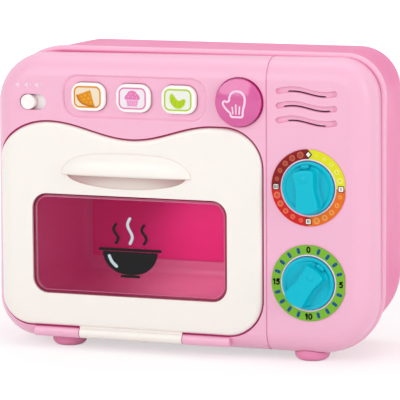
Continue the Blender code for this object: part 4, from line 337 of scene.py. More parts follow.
def linear(hexColour):
    values = []
    for i in (0, 2, 4):
        c = int(hexColour[i:i + 2], 16) / 255
        values.append(c / 12.92 if c <= 0.04045 else ((c + 0.055) / 1.055) ** 2.4)
    return (*values, 1.0)


def addNode(tree, kind, inputs=None, **settings):
    # Kinds without a family are shader nodes; an input is linked where its value is another node's socket
    node = tree.nodes.new(kind if "Node" in kind else "ShaderNode" + kind)
    for key, value in settings.items():
        setattr(node, key, value)
    for key, value in (inputs or {}).items():
        if isinstance(value, bpy.types.NodeSocket):
            tree.links.new(value, node.inputs[key])
        else:
            node.inputs[key].default_value = value
    return node


def calculate(tree, operation, *values):
    return addNode(tree, "Math", dict(enumerate(values)), operation=operation).outputs[0]


def newFinish(name):
    made = bpy.data.materials.new(name)
    made.use_nodes = True
    made.node_tree.nodes.clear()
    return made, made.node_tree, addNode(made.node_tree, "TexCoord").outputs["Object"]


def moulded(name, hexColour, deepHex, roughness=0.3, coat=0.2, scatter=0.0, clouds=9.0, grain=0.6, grainHeight=0.01,
            metallic=0.0, alpha=1.0, specular=0.5, creviceShade=None, shade="FFFFFF", reach=3.0, paintedGlow=0.0):
    # Plastic with faint flow clouds in its colour and a fine grain from the mould; sizes in mm.
    # The crevice and shade colours are painted shade: ambient occlusion multiplies them into the colour in narrow gaps
    # and in hollows about as deep as reach.
    # The glow is a painted glow in the crevice colour, standing for the many bounces in a narrow gap.
    made, tree, place = newFinish(name)
    flow = addNode(tree, "TexNoise", {"Vector": place, "Scale": 1 / (clouds * mm), "Detail": 3.0, "Roughness": 0.6})
    flow = flow.outputs["Fac"]
    base = addNode(tree, "Mix", {0: flow, 6: linear(hexColour), 7: linear(deepHex)}, data_type="RGBA").outputs[2]
    fine = addNode(tree, "TexNoise", {"Vector": place, "Scale": 1 / (grain * mm), "Detail": 2.0})
    rough = addNode(tree, "MapRange", {"Value": flow, "From Min": 0.3, "From Max": 0.7, "To Min": roughness - 0.03,
                                       "To Max": roughness + 0.04})
    bump = addNode(tree, "Bump", {"Height": fine.outputs["Fac"], "Strength": 0.25, "Distance": grainHeight * mm})
    paintedGapGlow = {}
    # Painted shade: the colour darkens toward the crevice colour where ambient occlusion finds close walls
    if creviceShade:
        openness = addNode(tree, "AmbientOcclusion", {"Distance": reach * mm}, samples=8).outputs["AO"]
        ramp = addNode(tree, "ValToRGB", {"Fac": openness})
        stops = ramp.color_ramp.elements
        stops[0].position, stops[1].position, stops[0].color = 0.06, 0.78, linear(creviceShade)
        stops.new(0.28).color = linear(shade)
        base = addNode(tree, "Mix", {0: 1.0, 6: base, 7: ramp.outputs["Color"]}, data_type="RGBA",
                       blend_type="MULTIPLY").outputs[2]
        # Painted glow: emission in the crevice colour where the gap is narrowest
        fade = addNode(tree, "MapRange", {"Value": openness, "From Min": 0.05, "From Max": 0.35, "To Min": paintedGlow,
                                          "To Max": 0.0})
        paintedGapGlow = {"Emission Color": linear(creviceShade), "Emission Strength": fade.outputs["Result"]}
    shader = addNode(tree, "BsdfPrincipled", {
        "Base Color": base, "Roughness": rough.outputs["Result"], "Normal": bump.outputs["Normal"],
        "Metallic": metallic, "Coat Weight": coat, "Coat Roughness": 0.12, "Subsurface Weight": scatter,
        "Subsurface Scale": 1.2 * mm, "Alpha": alpha, "Specular IOR Level": specular, **paintedGapGlow})
    addNode(tree, "OutputMaterial", {"Surface": shader.outputs["BSDF"]})
    return made


def printedRing(name, x, z, hexColours):
    # Ink in equal sectors clockwise from the top of a dial, on glossy film
    made, tree, place = newFinish(name)
    split = addNode(tree, "SeparateXYZ", {"Vector": place}).outputs
    flat = addNode(tree, "CombineXYZ", {"X": split["Z"], "Y": split["X"]}).outputs["Vector"]
    centred = addNode(tree, "Mapping", {"Vector": flat, "Location": (-z * mm, -x * mm, 0.0)}).outputs["Vector"]
    turn = addNode(tree, "TexGradient", {"Vector": centred}, gradient_type="RADIAL")
    ramp = addNode(tree, "ValToRGB", {"Fac": turn.outputs["Fac"]})
    stops, half = ramp.color_ramp.elements, len(hexColours) // 2
    ramp.color_ramp.interpolation = "CONSTANT"
    while len(stops) < len(hexColours):
        stops.new(1.0)
    # The radial gradient starts half a turn away from the top
    for i, hexColour in enumerate(hexColours[half:] + hexColours[:half]):
        stops[i].position, stops[i].color = i / len(hexColours), linear(hexColour)
    speck = addNode(tree, "TexNoise", {"Vector": place, "Scale": 1 / (0.8 * mm), "Detail": 2.0}).outputs["Color"]
    base = addNode(tree, "Mix", {0: 0.08, 6: ramp.outputs["Color"], 7: speck}, data_type="RGBA",
                   blend_type="MULTIPLY").outputs[2]
    shader = addNode(tree, "BsdfPrincipled", {"Base Color": base, "Roughness": 0.35, "Specular IOR Level": 0.2})
    addNode(tree, "OutputMaterial", {"Surface": shader.outputs["BSDF"]})
    return made


# ABS shell, gloss moulded: pale pink, milky, with soft highlights; burgundy painted shade and a painted glow in its
# gaps and creases
pinkAbs = moulded("pinkGlossAbs", "FABED8", "F9BBD6", 0.33, 0.15, 0.12, 40.0, specular=0.35, creviceShade="961A5C",
                  shade="EDB6D2", reach=4.5, paintedGlow=0.8)
# The same pink painted paler: a painted highlight on the raised marks, which catch more light
paintedHighlightPink = moulded("paintedHighlightPinkAbs", "FDDFEE", "FCD9E9", 0.22, 0.30, 0.10, 20.0)
# ABS of the rear half: the deeper pink, slightly less polished; painted shade and a faint painted glow in its creases
deepPinkAbs = moulded("deepPinkAbs", "F37EB2", "F079AD", 0.40, 0.0, 0.10, 40.0, specular=0.22, creviceShade="8A1650",
                      shade="F0B4D2", paintedGlow=0.3)
# Door ABS: warm ivory, thick-walled and milky; pinkish painted shade under the handle's hood and in its gaps, with a
# faint painted glow
ivoryAbs = moulded("ivoryAbs", "FDF8F1", "FCF7F0", 0.33, 0.20, 0.12, 60.0, specular=0.4, creviceShade="8C2A55",
                   shade="D4A8AE", reach=11.0, paintedGlow=0.35)
# Button and slider ABS: clean white; painted shade where it meets the bezel
whiteAbs = moulded("whiteAbs", "FFFEFA", "FDFBF6", 0.33, 0.30, 0.10, 30.0, creviceShade="9A3E6E", shade="EBCBDA", reach=2.5)
# Knob ABS: saturated teal with a bright gloss; darker teal painted shade beside the grips
tealAbs = moulded("tealAbs", "00C6DC", "00BFD6", 0.21, 0.14, 0.05, 30.0, specular=0.12, creviceShade="006A78",
                  shade="2C9EAE", reach=8.0)
# Mitt button: translucent pink polycarbonate lens over a lamp; burgundy painted shade and a painted glow in the gap
# round it
mittPc = moulded("mittPinkPolycarbonate", "DC4E9E", "D8499A", 0.12, 1.00, 0.15, 30.0, creviceShade="8E0F56", shade="C0508C",
                 reach=5.0, paintedGlow=1.0)
# Collar between each dial's print and its knob: the same ABS painted pale lilac, a painted highlight on its rounded
# edge, with painted shade at the bore
lilacHighlightAbs = moulded("lilacHighlightAbs", "F0DCF4", "EAD2EF", 0.33, 0.30, 0.08, 30.0, creviceShade="7A4A92", reach=1.0)
# Window: clear magenta polystyrene, polished, seen through
windowPs = moulded("clearMagentaPolystyrene", "B21A5C", "AA1456", 0.06, 0.10, 0.0, alpha=0.28, specular=0.15)
# Its bevelled border: the same plastic painted deeper and hardly clear, a painted shade for the pane seen edge on
windowEdgePs = moulded("clearMagentaEdge", "9A1C50", "8F174A", 0.10, 0.30, 0.0, alpha=0.86, specular=0.4)
# Thin line where the bevel meets the pane: paler, a painted highlight on an edge that catches the light
windowLinePs = moulded("clearMagentaRidge", "E580AC", "DC74A2", 0.10, 0.50, 0.0, alpha=0.75, specular=0.6)
# Feet: the rear pink again, paler, with painted shade where they meet the shell
footPink = moulded("footAbs", "F59CC4", "F297C0", 0.45, 0.0, 0.10, 20.0, specular=0.25, creviceShade="A0406F")
# Oven liner: polypropylene, satin, deeper pink
linerPp = moulded("linerPolypropylene", "E084A8", "D97CA1", 0.42, 0.0, 0.05, specular=0.2)
# Card on the liner's back wall: printed board with a bright magenta ink
cardInk = moulded("magentaPrintedCard", "EE2F83", "E42A7B", 0.5, 0.0, clouds=20.0, specular=0.2)
# Zinc plated steel of screws, springs and contacts: bright and slightly blue
zincSteel = moulded("zincPlatedSteel", "C5C8CB", "B3B6BA", 0.32, 0.0, metallic=1.0, grain=0.3)
# Loudspeaker cone: pressed black paper
paperCone = moulded("blackPaperCone", "2A1A20", "1E1418", 0.8, 0.0, grain=0.4, grainHeight=0.05)
# Loudspeaker basket: pressed steel under black lacquer
blackLacquer = moulded("blackLacqueredSteel", "221D20", "1A1618", 0.45, 0.1)
# Circuit board: green solder mask over glass fibre
solderMask = moulded("greenSolderMask", "1F6B3A", "185A30", 0.4, 0.4, clouds=3.0)
# Resin drop over the sound chip
blackResin = moulded("blackEpoxyResin", "1B1C1E", "141517", 0.2, 0.3)
# Keypad: translucent silicone rubber
siliconeRubber = moulded("greySilicone", "DADDDE", "CDD1D2", 0.6, 0.0, 0.2)
# Detent wheels: natural acetal
acetal = moulded("naturalAcetal", "EFEDE6", "E6E3DB", 0.4, 0.0, 0.1)
# Magnets: sintered ferrite, dark and dull
ferrite = moulded("sinteredFerrite", "3B3C3E", "2E2F31", 0.7, 0.0, grainHeight=0.04)
# Lamp and reed glass
lampGlass = moulded("clearLampGlass", "FBFAF7", "F2F1EE", 0.08, 0.5, alpha=0.55)
# Dry cell wrap: printed film on steel
cellFilm = moulded("cellFilm", "8E9499", "7F858B", 0.33, 0.4, metallic=0.6)
# Screen printed inks: flat and slightly dull
inks = {name: moulded(name + "Ink", *colours, 0.45, 0.0, clouds=4.0, specular=0.2) for name, *colours in (
    ("black", "0B090D", "080609"), ("navy", "1A5790", "174F84"), ("white", "FFFBF4", "F8F2E8"),
    ("paleBlue", "C8DCE4", "BCD2DB"), ("mittPale", "FFDDF3", "FFD6F0"), ("orangePad", "E8991A", "DE8C10"),
    ("pinkPad", "EC86BE", "E57FB6"), ("greenPad", "BBDC1C", "B0D014"), ("creamGround", "F6E7CF", "F3E2C6"),
    ("greyGround", "F6F0F4", "F2ECF0"), ("mintGround", "F2F4EC", "EEF1E8"), ("crustPad", "CC7B0C", "C27109"),
    ("rosePad", "E890C6", "E488C0"), ("deepGreenPad", "A9CB12", "A0C20E"), ("paleOrangePad", "F2B33C", "EEAA30"),
    ("palePinkPad", "F6B4D9", "F2ACD3"), ("limeDial", "80BF33", "7AB82E"))}
print("finishes made")

housing = dict(halfWidth=138.5, bottomFlare=1.5, bottom=6.0, top=211.0, topLeftDip=2.5, depth=26.5, fillet=16.0,
               wall=2.5, corners=(29.0, 41.0, 27.0, 36.0), seamX=63.8, seamWidth=0.9, seamDepth=0.5, softEdge=0.35)
wall = housing["wall"]


def bezelOutline(inset):
    low, high = housing["halfWidth"] + housing["bottomFlare"], housing["halfWidth"]
    quad = ((-low, housing["bottom"]), (low, housing["bottom"]), (high, housing["top"]),
            (-high, housing["top"] - housing["topLeftDip"]))
    return roundedQuad(quad, housing["corners"], inset)


def bezelSolid(name, grow, back=2 * housing["depth"], filletSteps=12):
    edge = roundedEdge(lambda inset: bezelOutline(inset - grow), housing["fillet"] + grow, -grow, filletSteps)
    return loft(name, [(bezelOutline(-grow), back)] + edge)


rim = dict(radius=2.5, halfWidth=142.0, top=213.5, bottom=4.8, corners=(34.0, 44.0, 28.0, 51.0), sides=16)


def rimBead(name, grow=0.0):
    inner = rim["radius"]
    half, low, high = rim["halfWidth"] - inner, rim["bottom"] + inner, rim["top"] - inner
    line = roundedQuad(((-half, low), (half, low), (half, high), (-half, high)),
                       [corner - inner for corner in rim["corners"]], 0.0, 19)
    rows = []
    for k in range(rim["sides"]):
        a = 2 * pi * (k + 0.5) / rim["sides"]
        y = faceY + housing["depth"] - inner + (inner + grow) * sin(a)
        rows.append([(x, y, z) for x, z in grown(line, (inner + grow) * cos(a))])
    return skinned(name, rows, closed=True)


door = dict(left=-133.6, right=60.7, bottom=16.6, top=161.7, valleyDrop=11.2, leftCrest=-96.7, valley=-34.5,
            rightCrest=25.3, leftShoulder=28.0, topRight=28.0, bottomLeft=21.5, bottomRight=26.0, proud=1.2, back=8.8,
            skin=2.2, edge=3.4, gap=1.0, frame=2.0)
pocket = dict(wall=1.2, shelf=2.2)
shelfFront = door["back"] + door["gap"]
shelfBack = shelfFront + pocket["shelf"]
linerFront = shelfBack + clearance
frameFront = door["back"] - door["frame"]


def doorOutline(grow=0.0):
    left, right, bottom, top = (door[side] for side in ("left", "right", "bottom", "top"))
    low, lowRight, high, shoulder = (door[key] for key in ("bottomLeft", "bottomRight", "topRight", "leftShoulder"))
    rightCrest, leftCrest = (door["rightCrest"], top), (door["leftCrest"], top)
    valley = (door["valley"], top - door["valleyDrop"])

    def wave(start, end, steps=22):
        return [(start[0] + (end[0] - start[0]) * i / steps,
                 start[1] + (end[1] - start[1]) * (1 - cos(pi * i / steps)) / 2) for i in range(1, steps)]

    points = arc(left + low, bottom + low, low, low, 180, 270, 16)
    points += arc(right - lowRight, bottom + lowRight, lowRight, lowRight, 270, 360, 16)
    points += arc(right - high, top - high, high, high, 0, 90, 16)
    points += [rightCrest] + wave(rightCrest, valley) + [valley] + wave(valley, leftCrest)
    points += arc(leftCrest[0], top - shoulder, leftCrest[0] - left, shoulder, 90, 180, 20)
    return grown(points, grow)


hinge = dict(z=12.0, depth=2.2, radius=3.8, bossLeft=-109.0, barrelLeft=-75.2, barrelRight=1.9, bossRight=36.5,
             gap=0.5, web=3.6, beam=5.0, pin=1.25, pinWall=3.0)


def hingeRod(name, left, right, radius, steps=40):
    return rodBetween(name, (left, hinge["depth"], hinge["z"]), (right, hinge["depth"], hinge["z"]), radius, steps)


recess = dict(marginX=6.1, marginZ=4.1, radius=10.5, depth=1.9, slope=2.2, wall=1.9, backing=2.8,
              slopeShares=((1.6, -1.3), (1.0, 0.0), (0.8, 0.04), (0.6, 0.15), (0.45, 0.3), (0.3, 0.5), (0.15, 0.78),
                           (0.07, 0.93), (0.0, 1.0)))


def recessOutline(grow):
    return centredBox(buttons["middle"], buttons["z"], buttons["pitch"] + buttons["width"] / 2 + recess["marginX"],
                      buttons["height"] / 2 + recess["marginZ"], recess["radius"], 14, grow)


grille = dict(x=92.2, z=178.4, pitch=10.0, length=43.6, groove=4.0, slit=0.9, reach=18.0, shorter=3.0, wave=1.6,
              lag=0.03,
              bed=((0.4, -2.0), (0.4, -0.01), (0.15, 0.12), (0.0, 0.5), (-0.1, 1.2), (-0.4, 1.75), (-1.0, 1.95)),
              ring=(20.0, 18.4), ringDeep=4.0)


def grilleOutline(z, length, width, lower=0.0):
    steps, half, line = 40, width / 2, []
    for i in range(steps + 1):
        x = grille["x"] + (i / steps - 0.5) * (length - width)
        phase = (x - grille["x"]) / grille["length"] + 0.5 - grille["lag"]
        line.append((x, z - lower + grille["wave"] * sin(2 * pi * phase)))
    return (moved(line, 0, -half) + arc(*line[-1], half, half, -75, 75, 8) + moved(line[::-1], 0, half)
            + arc(*line[0], half, half, 105, 255, 8))


def makeBezel():
    bezel = bezelSolid("bezel", 0.0, housing["depth"])
    cut(bezel, bezelSolid("bezelInside", -wall, housing["depth"] + overrun))
    join(bezel, rimBead("rimBead"))
    tub = plate("pocketBlock", [doorOutline(door["gap"] + pocket["wall"])], -overrun, shelfBack)
    keep(tub, bezelSolid("pocketLimit", -wall / 2, filletSteps=9))
    barrelBack = hinge["depth"] + hinge["radius"]
    beam = block("hingeBeam", hinge["bossLeft"], hinge["bossRight"], housing["bottom"] + wall / 2,
                 door["bottom"] + pocket["wall"], barrelBack, barrelBack + hinge["beam"])
    keep(beam, bezelSolid("beamLimit", -wall / 2, filletSteps=9))
    backing = plate("recessBacking", [recessOutline(recess["backing"])], wall / 2, recess["depth"] + recess["wall"])
    join(bezel, tub, backing, beam)
    halfGap = hinge["gap"] / 2
    left, right = hinge["barrelLeft"] - halfGap, hinge["barrelRight"] + halfGap
    join(bezel, hingeRod("hingeBossLeft", hinge["bossLeft"], left, hinge["radius"]),
         hingeRod("hingeBossRight", right, hinge["bossRight"], hinge["radius"]))
    for i, (x, z) in enumerate(caseScrews["places"]):
        front = shelfBack - pocket["shelf"] / 2 if x < door["right"] and z < door["top"] else wall / 2
        join(bezel, rod(f"caseBoss{i}", x, z, caseScrews["boss"], front, caseScrews["bossBack"], 24))
    join(bezel, plate("speakerRing", [circle(grille["x"], grille["z"], radius, 48) for radius in grille["ring"]],
                      wall / 2, wall + grille["ringDeep"]))

    through = wall + overrun
    cut(bezel, plate("doorPocket", [doorOutline(door["gap"])], -housing["fillet"], shelfFront),
        plate("cavityMouth", [cavityOutline(0.0, 0.0, 10)], 0.0, shelfBack + overrun),
        hingeRod("barrelTrough", left, right, hinge["radius"] + hinge["gap"]),
        block("webWay", left, right, hinge["z"], door["bottom"] + overrun, -housing["fillet"], barrelBack + halfGap),
        hingeRod("pinBore", hinge["bossLeft"] - overrun, hinge["bossRight"] - hinge["pinWall"],
                 hinge["pin"] + clearance, 20),
        loft("recess", [(recessOutline(width * recess["slope"]), depth * recess["depth"])
                        for width, depth in recess["slopeShares"]]))
    for i, name in enumerate(buttons["names"]):
        cut(bezel, plate(name + "Hole", [buttonOutline(buttonX(i), buttons["gap"])], 0.0, buttons["hole"]))
    half = sound["height"] / 2
    cut(bezel, rod("mittHole", mitt["x"], mitt["z"], mitt["radius"] + mitt["gap"], -overrun, mitt["hole"], 96),
        plate("soundSlot", [roundedBox(sound["left"], sound["right"], sound["z"] - half, sound["z"] + half,
                                       half * 0.99, 16)], -overrun, through))
    for name, z in dials["heights"].items():
        cut(bezel, rod(name + "Hole", dials["x"], z, dials["knob"] + dials["gap"], -overrun, through, 96))
    for i in (-1, 0, 1):
        z = grille["z"] + grille["pitch"] * i
        reach = 2 * sqrt(grille["reach"] ** 2 - (grille["pitch"] * i) ** 2) - grille["shorter"]
        drop = (grille["groove"] - grille["slit"]) / 2 - clearance
        cut(bezel, loft(f"grilleGroove{i}", [
            (grilleOutline(z, grille["length"] + 2 * spread, grille["groove"] + 2 * spread), depth)
            for spread, depth in grille["bed"]]),
            plate(f"grilleSlit{i}", [grilleOutline(z, reach, grille["slit"], drop)], 0.0, through))
    half = housing["seamWidth"] / 2
    seam = block("seam", housing["seamX"] - half, housing["seamX"] + half, housing["bottom"] - overrun,
                 housing["top"] + overrun, -overrun, housing["depth"] - 2 * rim["radius"])
    cut(seam, bezelSolid("seamFloor", -housing["seamDepth"]))
    cut(bezel, seam)
    soften(bezel, housing["softEdge"])
    return settle("bezelShell", bezel, "housing", pinkAbs, ["front_bezel"])


rear = dict(halfWidth=139.0, top=211.0, sideTaper=7.5, bottomTaper=2.0, back=100.5, fillet=4.0,
            corners=(36.0, 44.0, 29.0, 41.0))
caseScrews = dict(places=((-116, 27), (116, 27), (-116, 194), (116, 194)), boss=3.6, bossBack=24.0, seat=34.0,
                  tube=4.2, bore=3.1, hole=1.6)
rearFront = housing["depth"] + clearance


def rearOutline(depth, inset):
    share = (depth - rearFront) / (rear["back"] - rearFront)
    half = rear["halfWidth"] - rear["sideTaper"] * share
    low = half + housing["bottomFlare"] / 2
    bottom = housing["bottom"] + rear["bottomTaper"] * share
    quad = ((-low, bottom), (low, bottom), (half, rear["top"]), (-half, rear["top"]))
    return roundedQuad(quad, rear["corners"], inset)


def rearSolid(name, grow, front):
    back, radius = rear["back"] + grow, rear["fillet"] + grow
    rings = [(rearOutline(front, -grow), front)]
    for i in range(7):
        a = radians(15 * i)
        depth = back - radius * (1 - sin(a))
        rings.append((rearOutline(depth, radius * (1 - cos(a)) - grow), depth))
    return loft(name, rings)


def makeRear():
    back, bossBack, seat = rear["back"], caseScrews["bossBack"], caseScrews["seat"]
    shell = rearSolid("rear", 0.0, rearFront)
    cut(shell, rearSolid("rearInside", -wall, rearFront - overrun))
    for i, (x, z) in enumerate(caseScrews["places"]):
        join(shell, rod(f"caseTube{i}", x, z, caseScrews["tube"], bossBack + clearance, back - wall / 2, 32))
    for i, (x, z) in enumerate(caseScrews["places"]):
        cut(shell, rod(f"caseClear{i}", x, z, caseScrews["hole"], bossBack - overrun, seat + overrun, 20),
            rod(f"caseHead{i}", x, z, caseScrews["bore"], seat, back + overrun, 32))
    cut(shell, plate("hatchHole", [hatchOutline()], back - 2 * wall, back + overrun))
    soften(shell, housing["softEdge"])
    settle("rearShell", shell, "housing", deepPinkAbs, ["rear_housing"])


cavity = dict(left=-115.3, right=37.7, bottom=36.0, top=117.0, depth=68.0, sideDraft=13.0, floorDraft=7.0,
              corner=12.0, fillet=5.0, wall=2.0, flange=6.0, lampHole=2.8)


def cavityOutline(margin, share, steps=8):    # the share runs from the mouth to the back wall
    side, floor = cavity["sideDraft"] * share - margin, cavity["floorDraft"] * share - margin
    return roundedBox(cavity["left"] + side, cavity["right"] - side, cavity["bottom"] + floor, cavity["top"] - floor,
                      max(cavity["corner"] + margin, 0.5), steps)


def makeLiner():
    inner, fillet, back = cavity["wall"], cavity["fillet"], linerFront + cavity["depth"]
    turns = [radians(18 * i) for i in range(6)]
    rings = [(cavityOutline(-fillet * (1 - sin(a)), 1.0), back - fillet * (1 - cos(a))) for a in turns]
    rings += [(cavityOutline(margin, 0.0), depth) for margin, depth in (
        (0.0, linerFront), (cavity["flange"], linerFront), (cavity["flange"], linerFront + inner),
        (inner, linerFront + inner))]
    fillet += inner
    rings += [(cavityOutline(inner - fillet * (1 - sin(a)), 1.0), back + inner - fillet * (1 - cos(a)))
              for a in turns[::-1]]
    liner = loft("liner", rings)
    lamp = nodeBox("cavity_lamp")
    x, depth = (lamp[0] + lamp[1]) / 2, (lamp[2] + lamp[3]) / 2
    cut(liner, rodBetween("lampHole", (x, depth, lamp[4] - overrun), (x, depth, lamp[5] + overrun),
                          cavity["lampHole"], 24))
    settle("ovenLiner", liner, "housing", linerPp, ["cavity_liner"])


handle = dict(left=-86.8, right=9.4, lip=125.5, rise=15.6, reach=7.0, fullness=3.2, endShare=0.05,
              section=((0.0, 0.84), (0.103, 1.0), (0.38, 0.95), (0.64, 0.78), (0.86, 0.46), (1.0, 0.06)),
              scoopWidth=88.0, scoopBack=5.5, scoopFront=3.0, scoopDrop=9.5, scoopLift=5.0, scoopWall=1.8)


def handleHood(insideSkin):
    middle, half = (handle["left"] + handle["right"]) / 2, (handle["right"] - handle["left"]) / 2
    section = smoothLine(handle["section"], 4)
    steps, rows = 48, []
    for i in range(steps + 1):
        across = cos(pi * i / steps)
        full = max(sqrt(max(1 - abs(across) ** handle["fullness"], 0.0)), handle["endShare"])
        rise, reach, x = handle["rise"] * full, handle["reach"] * full, middle + half * across
        rows.append([(x, faceY - door["proud"] - reach * out, handle["lip"] + rise * up) for up, out in section]
                    + [(x, faceY + insideSkin, handle["lip"] + rise), (x, faceY + insideSkin, handle["lip"])])
    return skinned("handleHood", rows)


def scoopBall(name, grow):
    shaped = bmesh.new()
    bmesh.ops.create_uvsphere(shaped, u_segments=72, v_segments=36, radius=1)
    for vertex in shaped.verts:
        vertex.co.z *= (handle["scoopDrop"] if vertex.co.z < 0 else handle["scoopLift"]) + grow
        vertex.co.y *= (handle["scoopFront"] if vertex.co.y < 0 else handle["scoopBack"]) + grow
        vertex.co.x *= handle["scoopWidth"] / 2 + grow
    mesh = meshFrom(name, shaped)
    mesh.transform(Matrix.Translation(((handle["left"] + handle["right"]) / 2, faceY - door["proud"], handle["lip"])))
    return addTool(name, mesh)


def makeDoor():
    skin, proud, depth = door["skin"], door["proud"], hinge["depth"]
    panel = loft("doorPanel", [(doorOutline(), door["back"])] + roundedEdge(lambda inset: doorOutline(-inset),
                                                                            door["edge"], -proud))
    keep(panel, bezelSolid("doorForm", proud))
    hollow = plate("doorHollow", [doorOutline(-skin)], -housing["fillet"], door["back"] + overrun)
    keep(hollow, bezelSolid("hollowForm", proud - skin, filletSteps=9))
    cut(panel, hollow)
    backing = scoopBall("scoopBacking", handle["scoopWall"])
    insideSkin = skin / 2 - proud
    keep(backing, block("scoopLimit", handle["left"], handle["right"], window["top"], door["top"], insideSkin,
                        frameFront))
    left, right = hinge["barrelLeft"] + hinge["gap"] / 2, hinge["barrelRight"] - hinge["gap"] / 2
    join(panel, handleHood(insideSkin), backing,
         block("hingeWeb", left + 0.01, right - 0.01, hinge["z"], door["bottom"] + skin / 2, depth - hinge["web"] / 2,
               depth + hinge["web"] / 2), hingeRod("hingeBarrel", left, right, hinge["radius"]))
    cut(panel, scoopBall("scoop", 0.0), plate("windowHole", [windowOutline()], -housing["fillet"], door["back"]),
        hingeRod("barrelBore", left - overrun, right + overrun, hinge["pin"] + clearance, 20))
    soften(panel, 0.5, 3, 50)
    return settle("doorPanel", panel, "door", ivoryAbs, ["door_front_panel"])


window = dict(left=-109.4, right=35.4, bottom=39.9, top=111.1, radius=11.0, bevel=1.9, step=2.0, sunk=1.5)
paneFront = window["sunk"] - door["proud"]
paneBack = door["skin"] - door["proud"] + clearance + window["step"]


def windowOutline(grow=0.0):
    return roundedBox(window["left"], window["right"], window["bottom"], window["top"], window["radius"], grow=grow)


def makePane():
    step, border, radius = window["step"], clearance + window["bevel"], window["radius"]
    rings = [(windowOutline(grow), depth) for grow, depth in (
        (step, paneBack), (step, paneBack - step), (-clearance, paneBack - step), (-clearance, paneFront + 1.0),
        (-border, paneFront + 0.3), (-border - 0.15, paneFront + 0.05), (-border - 0.5, paneFront),
        (-border - 0.8, paneFront))]
    pane = settle("windowPane", loft("pane", rings), "door", windowPs, ["door_window_pane"],
                  20)
    pane.data.materials.append(windowEdgePs)
    pane.data.materials.append(windowLinePs)
    for face in pane.data.polygons:
        x, depth, z = face.center.x / mm, face.center.y / mm - faceY, face.center.z / mm
        outs = [(x - window["right"], window["left"] - x), (z - window["top"], window["bottom"] - z)]
        inset = -max(max(pair) for pair in outs)
        for outX in outs[0]:          # round the corners
            for outZ in outs[1]:
                if outX > -radius and outZ > -radius:
                    inset = min(inset, radius - hypot(outX + radius, outZ + radius))
        # The bevel border takes the painted shade finish, the thin line inside it the painted highlight finish
        if depth < paneBack - step - 0.1:
            face.material_index = 1 if inset < border - 0.05 else 2 if inset < border + 0.5 else 0


buttons = dict(names=("pizza", "cupcake", "croissant"), middle=-32.8, pitch=33.4, z=180.2, width=25.2, height=19.8,
               radius=7.4, proud=1.8, edge=1.2, gap=0.4, flange=1.8, flangeThick=1.2, stem=2.5, hole=6.0)


def buttonX(i):
    return buttons["middle"] + buttons["pitch"] * (i - 1)


def buttonOutline(x, grow=0.0):
    return centredBox(x, buttons["z"], buttons["width"] / 2, buttons["height"] / 2, buttons["radius"], 12, grow)


def makeButtons():
    flangeFront = recess["depth"] + recess["wall"] + clearance
    for i, name in enumerate(buttons["names"]):
        x = buttonX(i)
        flange = buttonOutline(x, buttons["flange"])
        rings = [(flange, flangeFront + buttons["flangeThick"]), (flange, flangeFront), (buttonOutline(x), flangeFront)]
        rings += roundedEdge(lambda inset: buttonOutline(x, -inset), buttons["edge"], -buttons["proud"], 5)
        cap = loft(name + "Cap", rings)
        join(cap, rod(name + "Stem", x, buttons["z"], buttons["stem"], flangeFront + 0.2,
                      nodeBox(name + "_button")[3], 24))
        settle(name + "Cap", cap, name + "_button", whiteAbs, [name + "_button"])


mitt = dict(x=44.4, z=180.0, radius=16.5, proud=3.8, dome=2.4, gap=0.9, wall=1.8, edge=0.9, hole=8.0, rim=1.4,
            flange=1.0, flangeThick=0.5, tabs=(18.5, 4.0))


def makeMitt():
    x, z, top, radius, edge, thick = (mitt[key] for key in ("x", "z", "proud", "radius", "edge", "wall"))
    profile = [((radius - edge) * i / 8, -top - mitt["dome"] * (1 - (i / 8) ** 2)) for i in range(9)]
    profile += arc(radius - edge, edge - top, edge, edge, -90, 0, 5)[1:]
    front, inner, flange = wall + clearance, radius - thick, radius + mitt["flange"]
    back = front + mitt["rim"]
    flangeFront = back - mitt["flangeThick"]
    # A full flange behind the bezel closes the gap round the button from behind
    profile += [(radius, flangeFront), (flange, flangeFront), (flange, back), (inner, back), (inner, thick - top),
                (0.0, thick - top - mitt["dome"] / 2)]
    cap = turned("mittCap", x, z, profile, 96)
    halfWidth, halfHeight = mitt["tabs"]
    tabs = block("mittTabs", x - halfWidth, x + halfWidth, z - halfHeight, z + halfHeight, front, back - 0.01)
    cut(tabs, rod("tabBore", x, z, inner + thick / 2, 0.0, back + overrun, 64))
    join(cap, tabs)
    return settle("mittCap", cap, "mitt_button", mittPc, ["mitt_button"])


sound = dict(left=-118.0, right=-98.4, height=11.2, z=175.2, proud=1.8, edge=0.9, back=4.4, plate=(3.8, 5.2))


def makeSlider():
    node = nodeBox("sound_slider")
    radius, front, edge, back = sound["height"] / 2 - clearance, -sound["proud"], sound["edge"], sound["back"]
    profile = [(0.0, front + 0.35), (radius - 2.2, front + 0.3), (radius - 1.3, front + 0.05)]
    profile += arc(radius - edge, front + edge, edge, edge, -90, 0, 4) + [(radius, back), (0.0, back)]
    cap = turned("sliderCap", (node[0] + node[1]) / 2, sound["z"], profile, 56)
    join(cap, block("sliderPlate", node[0], node[1], node[4], node[5], *sound["plate"]))
    settle("sliderCap", cap, "sound_slider", whiteAbs, ["sound_slider"])


dials = dict(x=94.0, heights={"temperature": 123.0, "timer": 57.1}, pointers={"temperature": 6.5, "timer": -38.0},
             labelOuter=26.5, labelInner=19.9, labelFront=-0.7, knob=18.4, gap=0.4)
grip = dict(head=11.8, tail=14.2, headHalf=7.4, waistHalf=6.3, tailHalf=7.8, waistShare=0.55, headArch=1.2,
            tailArch=2.6, front=10.7, edge=1.2, dot=2.4, dotHeight=0.8, dotInset=4.8, bump=14.5, bumpHalf=(3.2, 1.7),
            flare=((2.7, 1.3), (2.7, 0.86), (2.0, 0.72), (1.4, 0.5), (0.9, 0.1), (0.5, -0.6), (0.2, -1.6), (0.0, -2.9)))
disc = dict(front=-3.2, edge=1.4, dish=((-3.6, 0.8), (-3.0, 0.62), (-2.4, 0.18)), flange=21.2, shaft=3.5)


